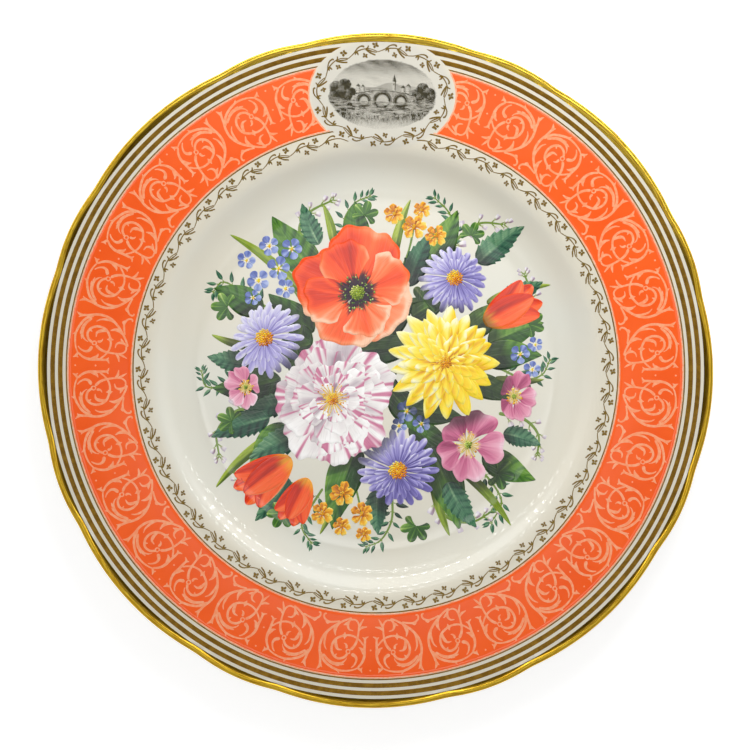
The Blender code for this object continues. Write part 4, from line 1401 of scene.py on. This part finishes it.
# Asters and wild roses: (x, y, size, clock angle leant to, lean in degrees).
ASTERS = [(-45.0, 12.0, 16.0, 300, 25), (10.0, -40.0, 16.5, 190, 18), (31.0, 38.0, 14.5, 40, 24)]
WILD_ROSES = [(38.0, -29.0, 16.0, 120, 20), (56.0, -9.0, 10.5, 90, 38), (-52.0, -8.0, 9.5, 260, 36)]
# Tulips: (x, y, clock angle, length).
TULIPS = [(-33.0, -36.0, 232, 27.0), (43.0, 20.0, 60, 26.0), (-26.0, -44.0, 205, 21.0)]
# Small flowers: (x, y, size, turn).
GOLD_FLOWERS = [
    (-12, -50, 5.2, 0.2), (-20, -58, 4.8, 1.2), (-4, -58, 4.8, 2.0), (-12, -63, 3.8, 0.7),
    (-3, -66, 3.2, 0.1), (14, 58, 5.0, 0.5), (23, 55, 4.6, 1.4), (6, 63, 4.2, 0.9), (17, 65, 3.6, 0.2),
]
BLUE_FLOWERS = [
    (-40, 40, 5.0, 0.1), (-48, 35, 4.6, 0.7), (-35, 48, 4.6, 0.4), (-44, 49, 4.2, 0.9), (-53, 43, 3.8, 0.2),
    (-37, 32, 4.0, 0.6), (-50, 28, 3.4, 0.3), (58, 8, 4.2, 0.4), (63, 2, 3.6, 0.1), (64, 12, 3.2, 0.8),
    (13, -16, 4.4, 0.2), (19, -21, 3.8, 0.9), (10, -22, 3.4, 0.5),
]
# Leaves: (x, y, clock angle, length, width, bend).
BROAD_LEAVES = [
    (-25, 15, 308, 24, 13, 12), (14, -22, 122, 22, 12, 8), (38, -3, 112, 20, 11, 10),
    (35, 15, 48, 22, 12, -12), (-8, 8, 86, 26, 15, 8), (45, 12, 68, 24, 13, 14),
    (-36, -22, 214, 26, 14, 12), (-24, 38, -40, 30, 16, 18), (-46, 22, -64, 22, 13, -20),
    (-38, -4, -100, 28, 15, 24), (-6, -30, 196, 36, 16, -22), (22, -30, 158, 36, 17, 20),
    (44, -32, 116, 24, 13, -18), (42, 6, 86, 25, 14, 22), (18, 42, 30, 27, 14, -22),
    (-8, 50, -6, 18, 12, 16), (2, 14, 40, 20, 12, 10), (6, -8, 140, 24, 13, 10), (-30, 18, 190, 20, 12, 10),
    (-26, 10, 250, 20, 12, -14), (14, -14, 100, 22, 12, -12), (14, 22, 60, 18, 11, 12),
]
TOOTHED_LEAVES = [
    (-33, -13, 258, 20, 12, 8), (12, 34, 22, 24, 12, 12), (-27, -25, 243, 26, 14, -12),
    (-42, -20, 250, 25, 13, -16), (-50, 2, -84, 18, 11, 14), (40, 44, 50, 24, 13, 16),
    (30, -44, 146, 22, 12, -20), (-34, -44, 216, 22, 12, 14), (52, -24, 106, 16, 10, 20),
    (-24, 50, -24, 18, 10, 14), (2, -48, 178, 18, 11, -12), (50, 30, 66, 18, 11, -12),
]
NARROW_LEAVES = [
    (-30, 30, -52, 38, 4.4, -24), (34, -38, 136, 32, 4.0, 22), (44, 28, 72, 27, 4.0, 24),
    (-38, -26, 228, 34, 4.4, -26), (-12, -40, 198, 28, 4.0, 20), (6, 44, 14, 26, 4.0, 22),
    (48, -2, 90, 20, 3.6, -24), (-50, 8, -74, 17, 3.4, 18), (24, -40, 164, 27, 4.2, -18),
    (-18, 50, -16, 17, 3.6, -20),
]
# Ivy leaves: (x, y, size, turn).
IVY_LEAVES = [
    (-60, 24, 7.5, -1.2), (-57, -22, 7.0, -1.9), (61, 20, 6.8, 1.2), (50, -40, 7.4, 2.2),
    (-36, -58, 6.6, 3.6), (-6, 62, 6.4, -0.2), (37, 55, 6.2, 0.6), (18, -62, 7.0, 2.9), (3, -2, 8.0, 2.4),
    (-30, 4, 7.0, 4.2), (19, 28, 7.4, 0.8),
]
# Stems: a path. Bell sprigs and fronds: a path and the size of a bell or leaflet.
STEMS = [
    [(-40, 41), (-34, 32), (-26, 20)], [(14, 58), (12, 48), (8, 38)], [(-12, -50), (-11, -40), (-10, -30)],
    [(58, 8), (48, 6), (40, 4)], [(23, 55), (16, 46), (12, 40)], [(-35, 48), (-30, 40), (-24, 34)],
    [(-20, -58), (-17, -50), (-12, -42)], [(-4, -58), (-6, -50), (-8, -42)],
]
BELL_SPRIGS = [
    ([(24, 42), (31, 53), (40, 60), (50, 60)], 3.4), ([(-28, 46), (-32, 56), (-28, 63), (-19, 68)], 3.2),
    ([(-46, -16), (-56, -18), (-63, -26), (-62, -36)], 3.2),
    ([(24, -48), (30, -58), (40, -60), (49, -55)], 3.4), ([(48, 14), (58, 22), (62, 31), (59, 40)], 3.0),
    ([(-32, -46), (-42, -52), (-51, -49), (-56, -42)], 3.0),
    ([(50, -16), (60, -18), (66, -24), (66, -32)], 3.0),
]
FRONDS = [
    ([(-44, 24), (-54, 30), (-62, 34), (-66, 30)], 5.0),
    ([(40, -36), (48, -44), (52, -52), (48, -60)], 5.2), ([(26, 46), (30, 56), (28, 64), (22, 70)], 4.6),
    ([(-20, -48), (-26, -58), (-28, -64), (-24, -70)], 4.6), ([(50, 2), (60, -2), (67, 0), (70, 6)], 4.4),
    ([(-54, -4), (-62, -8), (-68, -8), (-70, -2)], 4.2), ([(-12, 52), (-14, 60), (-10, 67), (-4, 70)], 4.4),
    ([(8, -50), (8, -60), (4, -68), (-2, -71)], 4.6),
]

# How high over the glaze each layer of the spray lies, in mm, from the back to the front.
FROND_LIFT, BELL_LIFT, STEM_LIFT = 0.005, 0.02, 0.044
NARROW_LIFT, BROAD_LIFT, TOOTHED_LIFT, IVY_LIFT = 0.046, 0.061, 0.076, 0.095
GOLD_LIFT, BLUE_LIFT, SMALL_EYE_LIFT, TULIP_LIFT = 0.105, 0.106, 0.12, 0.13
ASTER_LIFT, ASTER_EYE_LIFT = 0.15, 0.178
ROSE_LIFT, ROSE_STAMEN_LIFT, ROSE_EYE_LIFT = 0.185, 0.193, 0.21
PEONY_LIFT, PEONY_STAMEN_LIFT, PEONY_EYE_LIFT = 0.205, 0.257, 0.28
DAHLIA_LIFT, DAHLIA_EYE_LIFT = 0.262, 0.318
POPPY_LIFT, POPPY_STAMEN_LIFT, POPPY_EYE_LIFT = 0.322, 0.337, 0.365

# The petals of each kind, as bloom and blades take them. A tulip's are (turn, length, width, bend).
IVY_LOBES = [(1, 1, 2.25)]
GOLD_RINGS = [(6, 1, 0.5), (5, 0.66, 0.5)]
BLUE_RINGS = [(5, 1, 0.58)]
ASTER_RINGS = [(21, 1, 0.135), (19, 0.84, 0.14), (17, 0.64, 0.15)]
ROSE_RINGS = [(5, 1, 0.68)]
POPPY_RINGS = [(4, 1, 0.92), (4, 0.86, 0.8)]
TULIP_PETALS = [(-9, 0.97, 0.42, -10), (9, 0.97, 0.42, 10), (-20, 0.9, 0.4, -34), (20, 0.9, 0.4, 34),
                (0, 0.88, 0.46, 2)]


def make_greenery(green, petals):
    """Fronds, bell sprigs and stems, and the leaves over them, in the shade of the flowers above."""
    leaves, stems, bells = Piece("spray_leaves"), Piece("spray_stems"), Piece("spray_bells")
    above = LARGE + [flower[:3] for flower in ASTERS + WILD_ROSES]
    for k, (path, size) in enumerate(FRONDS):
        sprig(stems, leaves, path, size, FROND_LIFT, leaf_painter(BLUE_GREENS), leaf_outline, pairs=9,
              slant=62, stalk=0.3, plump=0.42, seed=k, blooms=above, fold=0.5, grid=(14, 5))
    for k, (path, size) in enumerate(BELL_SPRIGS):
        sprig(stems, bells, path, size, BELL_LIFT, bell_petal, bell_outline, pairs=7, slant=56, stalk=0.8,
              plump=0.78, seed=k, fold=0.7, grid=(9, 7))
    for path in STEMS:
        points, grain = ribbon(flowing(path, 30), (0.9, 0.8, 0.6), 0.0, STEM_LIFT)
        stems.add(points, grain, linear(STEM_GREEN))
    blades(leaves, NARROW_LEAVES, leaf_painter(LIME_GREENS), NARROW_LIFT, strap_outline, 0.5, veins=3,
           seed=1, blooms=above)
    blades(leaves, BROAD_LEAVES, leaf_painter(GREENS), BROAD_LIFT, leaf_outline, 0.4, 0.07, 6, (60, 17),
           seed=2, blooms=above)
    blades(leaves, TOOTHED_LEAVES, leaf_painter(BLUE_GREENS, 0.36), TOOTHED_LIFT, toothed_outline, 0.36,
           0.07, 7, (64, 13), seed=3, blooms=above)
    for k, (*leaf, turn) in enumerate(IVY_LEAVES):
        bloom(leaves, leaf, IVY_LOBES, lobed_tip, ivy_leaf, IVY_LIFT, turn, -0.2, (14, 61), ruffle=0.03,
              seed=k, waist=0.12, heart=0.02, blooms=above)
    leaves.make(green, "flower_print")
    stems.make(green, "flower_print")
    bells.make(petals, "flower_print")


def make_asters(petals):
    """Asters: three rings of narrow petals about a seed head, each flower leant its own way."""
    asters = Piece("spray_asters")
    for k, (x, y, size, *lean) in enumerate(ASTERS):
        bloom(asters, (x, y, size), ASTER_RINGS, round_tip, lilac_petal, ASTER_LIFT, 0.1 * k, -0.25, (9, 7),
              ruffle=0.02, lean=lean, seed=k, heart=0.2, blooms=LARGE)
        seed_head(asters, (x, y), size * 0.22, GOLDS, ASTER_EYE_LIFT, 60, k)
    asters.make(petals, "flower_print")


def make_small_flowers(petals):
    """Gold flowers of two ruffled rings, and blue ones of five round petals, each with a small eye."""
    small = Piece("spray_small_flowers")
    for k, (x, y, size, turn) in enumerate(GOLD_FLOWERS):
        bloom(small, (x, y, size), GOLD_RINGS, ruffled_tip, gold_petal, GOLD_LIFT, turn, 0.3, (7, 13), seed=k,
              blooms=LARGE)
        seed_head(small, (x, y), size * 0.2, GOLDS, SMALL_EYE_LIFT, 12, k)
    for k, (x, y, size, turn) in enumerate(BLUE_FLOWERS):
        bloom(small, (x, y, size), BLUE_RINGS, round_tip, blue_petal, BLUE_LIFT, turn, 0.2, (7, 13), seed=k,
              blooms=LARGE)
        seed_head(small, (x, y), size * 0.17, YELLOWS, SMALL_EYE_LIFT, 7, k)
    small.make(petals, "flower_print")


def make_tulips(petals):
    """Tulips from the side: two pairs of petals that curve outwards, and one over their middle."""
    tulips = Piece("spray_tulips")
    for k, (x, y, angle, size) in enumerate(TULIPS):
        cup = [(x, y, angle + turn, size * length, size * width, bend)
               for turn, length, width, bend in TULIP_PETALS]
        blades(tulips, cup, tulip_petal, TULIP_LIFT, tulip_outline, -0.35, grid=(30, 13), seed=k,
               blooms=LARGE)
    tulips.make(petals, "flower_print")


def make_wild_roses(petals):
    """Wild roses: five notched petals about a green eye and a crown of stamens."""
    roses = Piece("spray_wild_roses")
    for k, (x, y, size, *lean) in enumerate(WILD_ROSES):
        bloom(roses, (x, y, size), ROSE_RINGS, heart_tip, pink_petal, ROSE_LIFT, 0.5 + k, 0.3, (16, 33),
              ruffle=0.06, lean=lean, seed=20 + k, blooms=LARGE)
        seed_head(roses, (x, y), size * 0.1, LIME_GREENS, ROSE_EYE_LIFT, 16, k)
        stamens(roses, (x, y), size * 0.26, 26, (214, 186, 96), GOLDS, ROSE_STAMEN_LIFT, k)
    roses.make(petals, "flower_print")


def make_large_flowers(petals):
    """The poppy over the dahlia over the peony."""
    poppy, dahlia, peony = Piece("spray_poppy"), Piece("spray_dahlia"), Piece("spray_peony")
    bloom(peony, PEONY, PEONY_RINGS, ruffled_tip, peony_petal, PEONY_LIFT, 0.3, 0.35, (20, 41), ruffle=0.07,
          lean=(150, 10), seed=5, scatter=0.3)
    stamens(peony, PEONY[:2], 5.0, 44, (226, 190, 90), GOLDS, PEONY_STAMEN_LIFT, 3, 0.4)
    seed_head(peony, PEONY[:2], 2.4, GOLDS, PEONY_EYE_LIFT, 40, 2)
    bloom(dahlia, DAHLIA, DAHLIA_RINGS, pointed_tip, yellow_petal, DAHLIA_LIFT, 0.1, -0.2, (12, 15),
          ruffle=0.03, lean=(80, 14), seed=7, heart=0.12)
    seed_head(dahlia, DAHLIA[:2], 2.6, GOLDS, DAHLIA_EYE_LIFT, 40, 6)
    bloom(poppy, POPPY, POPPY_RINGS, ruffled_tip, orange_petal, POPPY_LIFT, 0.35, 0.4, (26, 49), ruffle=0.1,
          lean=(320, 14), seed=11)
    stamens(poppy, POPPY[:2], 6.0, 64, (40, 20, 44), GREENS, POPPY_STAMEN_LIFT, 4, 0.35)
    seed_head(poppy, POPPY[:2], 3.0, LIME_GREENS, POPPY_EYE_LIFT, 50, 1)
    poppy.make(petals, "flower_print")
    dahlia.make(petals, "flower_print")
    peony.make(petals, "flower_print", ["centre_print"])


def make_spray():
    """The spray: its greenery, its small and middling flowers, and the three large ones."""
    petals, green = flower_enamel("petal_enamel", 0.3), flower_enamel("leaf_enamel", 0.4)
    make_greenery(green, petals)
    for make in (make_asters, make_small_flowers, make_tulips, make_wild_roses, make_large_flowers):
        make(petals)


# ---------------------------------------------------------------- studio

WHITE = (1, 1, 1, 1)
CAMERA_HEIGHT = 2.5  # over the lip's crest, in metres
CAMERA_ROLL = math.radians(1.45)
CAMERA_OFFSET = (-0.00020, -0.00184)  # from the plate's axis, in metres to the view's right and up
FIELD_WIDTH = 0.29955  # how much of the lip's plane the view takes in across, in metres
FLOOR_REACH = 3.0
FLOOR_COLOUR = srgb(222, 222, 222)
FLOOR_GLOW = 0.66

# The room's light by direction. A pair is where a change begins and where it is whole, along the direction's
# east, north or up, and a band's three are its two ends and how wide it fades.
ROOM_LEVEL = 0.48
CEILING_DROP, CEILING_UP = 0.33, (0.88, 0.96)
EAST_DROP, EAST_SIDE = 0.1, (-0.8, 0.8)
WINDOW_LEVEL, WINDOW_UP = 0.95, (0.42, 0.15)
SOUTH_WINDOWS, WINDOW_NORTH = 0.25, (-0.6, 0.7)
PANEL_LEVEL, PANEL_UP, PANEL_NORTH = 2.7, (0.972, 0.99), (-0.05, 0.05)
STRIP_SHARE, STRIP_NORTH, STRIP_EAST = 0.24, (-0.34, -0.17, 0.03), (-0.42, 0.42, 0.06)

# Rows of lamps, each (north over up, half width, count), and a glow low in the north.
LAMP_ROWS = ((1.5, 0.06, 131.0), (1.8, 0.05, 97.0), (3.4, 0.25, 113.0))
LAMP_LEVEL = 14.0
LAMP_SWELL = (0.5, 0.8)  # a lamp comes up between these heights of its row's wave
GLOW_LEVEL, GLOW_REACH = 1.3, (2.4, 3.6)
LEAST_UP = 0.01  # so that nothing is divided by 0


def make_floor():
    """A plain white floor that keeps the plate's shadow.

    It glows for the camera, in gloss and through glass, which lifts it to white where nothing shades it and
    lights nothing.
    """
    graph = finish("studio_floor")
    seen = graph.ray("Camera")
    for kind in ("Glossy", "Transmission"):
        seen = seen.maths("MAXIMUM", seen, graph.ray(kind))
    plain = graph.add("ShaderNodeBsdfDiffuse", None, {"Color": FLOOR_COLOUR})
    glow = graph.add("ShaderNodeEmission", None, {"Color": WHITE, "Strength": FLOOR_GLOW})
    both = graph.add("ShaderNodeAddShader", None, {0: plain, 1: glow})
    shader = graph.add("ShaderNodeMixShader", None, {0: seen, 1: plain, 2: both})
    graph.add("ShaderNodeOutputMaterial", None, {"Surface": shader})
    mesh = bpy.data.meshes.new("floor")
    corners = [(-1, -1), (1, -1), (1, 1), (-1, 1)]
    mesh.from_pydata([(FLOOR_REACH * x, FLOOR_REACH * y, 0) for x, y in corners], [], [(0, 1, 2, 3)])
    mesh.materials.append(graph.owner)
    floor = bpy.data.objects.new("floor", mesh)
    bpy.context.scene.collection.objects.link(floor)


def make_world():
    """An even studio: a dark ceiling with a bright panel north of the camera, a strip of light to the south,
    bright low windows mostly to the north, and rows of small lamps that are seen in gloss and light nothing.

    The camera sees plain white where it looks past the floor.
    """
    world = bpy.data.worlds.new("studio")
    bpy.context.scene.world = world
    graph = Graph(world)
    east, north, up = graph.axes(graph.add("ShaderNodeTexCoord", output="Generated"))
    room = ROOM_LEVEL - CEILING_DROP * up.between(*CEILING_UP) - EAST_DROP * east.between(*EAST_SIDE)
    windows = up.between(*WINDOW_UP) * (SOUTH_WINDOWS + north.between(*WINDOW_NORTH))
    panel = up.between(*PANEL_UP) * north.between(*PANEL_NORTH)
    strip = north.within(*STRIP_NORTH) * east.within(*STRIP_EAST)
    level = room + WINDOW_LEVEL * windows + PANEL_LEVEL * (panel + STRIP_SHARE * strip)
    bearing = east.maths("ARCTAN2", east, north)
    reach = north / up.maths("MAXIMUM", up, LEAST_UP)
    lamps = GLOW_LEVEL / LAMP_LEVEL * reach.between(*GLOW_REACH)
    for middle, half, count in LAMP_ROWS:
        row = reach.within(middle - half, middle + half, 0.4 * half)
        swell = (count * bearing).sine() + 0.5 * (7.3 * bearing + middle).sine()
        lamps = lamps + row * swell.between(*LAMP_SWELL)
    level = level + LAMP_LEVEL * lamps * graph.ray("Glossy")
    level = level + graph.ray("Camera") * (1.0 - level)
    light = graph.add("ShaderNodeBackground", None, {"Color": WHITE, "Strength": level})
    graph.add("ShaderNodeOutputWorld", None, {"Surface": light})


def make_lamp(name, place, target, size, power, mirrored):
    """A round lamp that faces its target and is seen in gloss only where it is asked to be."""
    data = bpy.data.lights.new(name, "AREA")
    data.shape = "DISK"
    data.size, data.energy = size, power
    lamp = bpy.data.objects.new(name, data)
    lamp.location = place
    aim = Vector(target) - Vector(place)
    lamp.rotation_euler = aim.to_track_quat("-Z", "Y").to_euler()
    lamp.visible_glossy = mirrored
    bpy.context.scene.collection.objects.link(lamp)


def make_camera():
    """Straight above the plate. Its focal length is the sensor's width times CAMERA_HEIGHT over FIELD_WIDTH."""
    data = bpy.data.cameras.new("camera")
    data.sensor_width = 36.0
    data.lens = data.sensor_width * CAMERA_HEIGHT / FIELD_WIDTH
    data.clip_end = 20.0
    camera = bpy.data.objects.new("camera", data)
    right, up = CAMERA_OFFSET
    cos, sin = math.cos(CAMERA_ROLL), math.sin(CAMERA_ROLL)
    camera.location = (right * cos - up * sin, right * sin + up * cos, CREST_HEIGHT * MM + CAMERA_HEIGHT)
    camera.rotation_euler = (0, 0, CAMERA_ROLL)
    bpy.context.scene.collection.objects.link(camera)
    bpy.context.scene.camera = camera


make_china()
make_gilt_lip()
make_rings()
make_peach_lines()
make_scrollwork()
make_vines()
make_engraving()
make_spray()
make_floor()
make_world()
make_camera()
make_lamp("key_lamp", (0.07, 0.24, 0.32), (0.01, 0.05, 0), 0.3, 1.1, mirrored=False)
make_lamp("rim_lamp", (-0.12, 0.42, 0.3), (0, 0.1, 0), 0.16, 0.06, mirrored=True)
bpy.context.scene.view_settings.view_transform = "Standard"
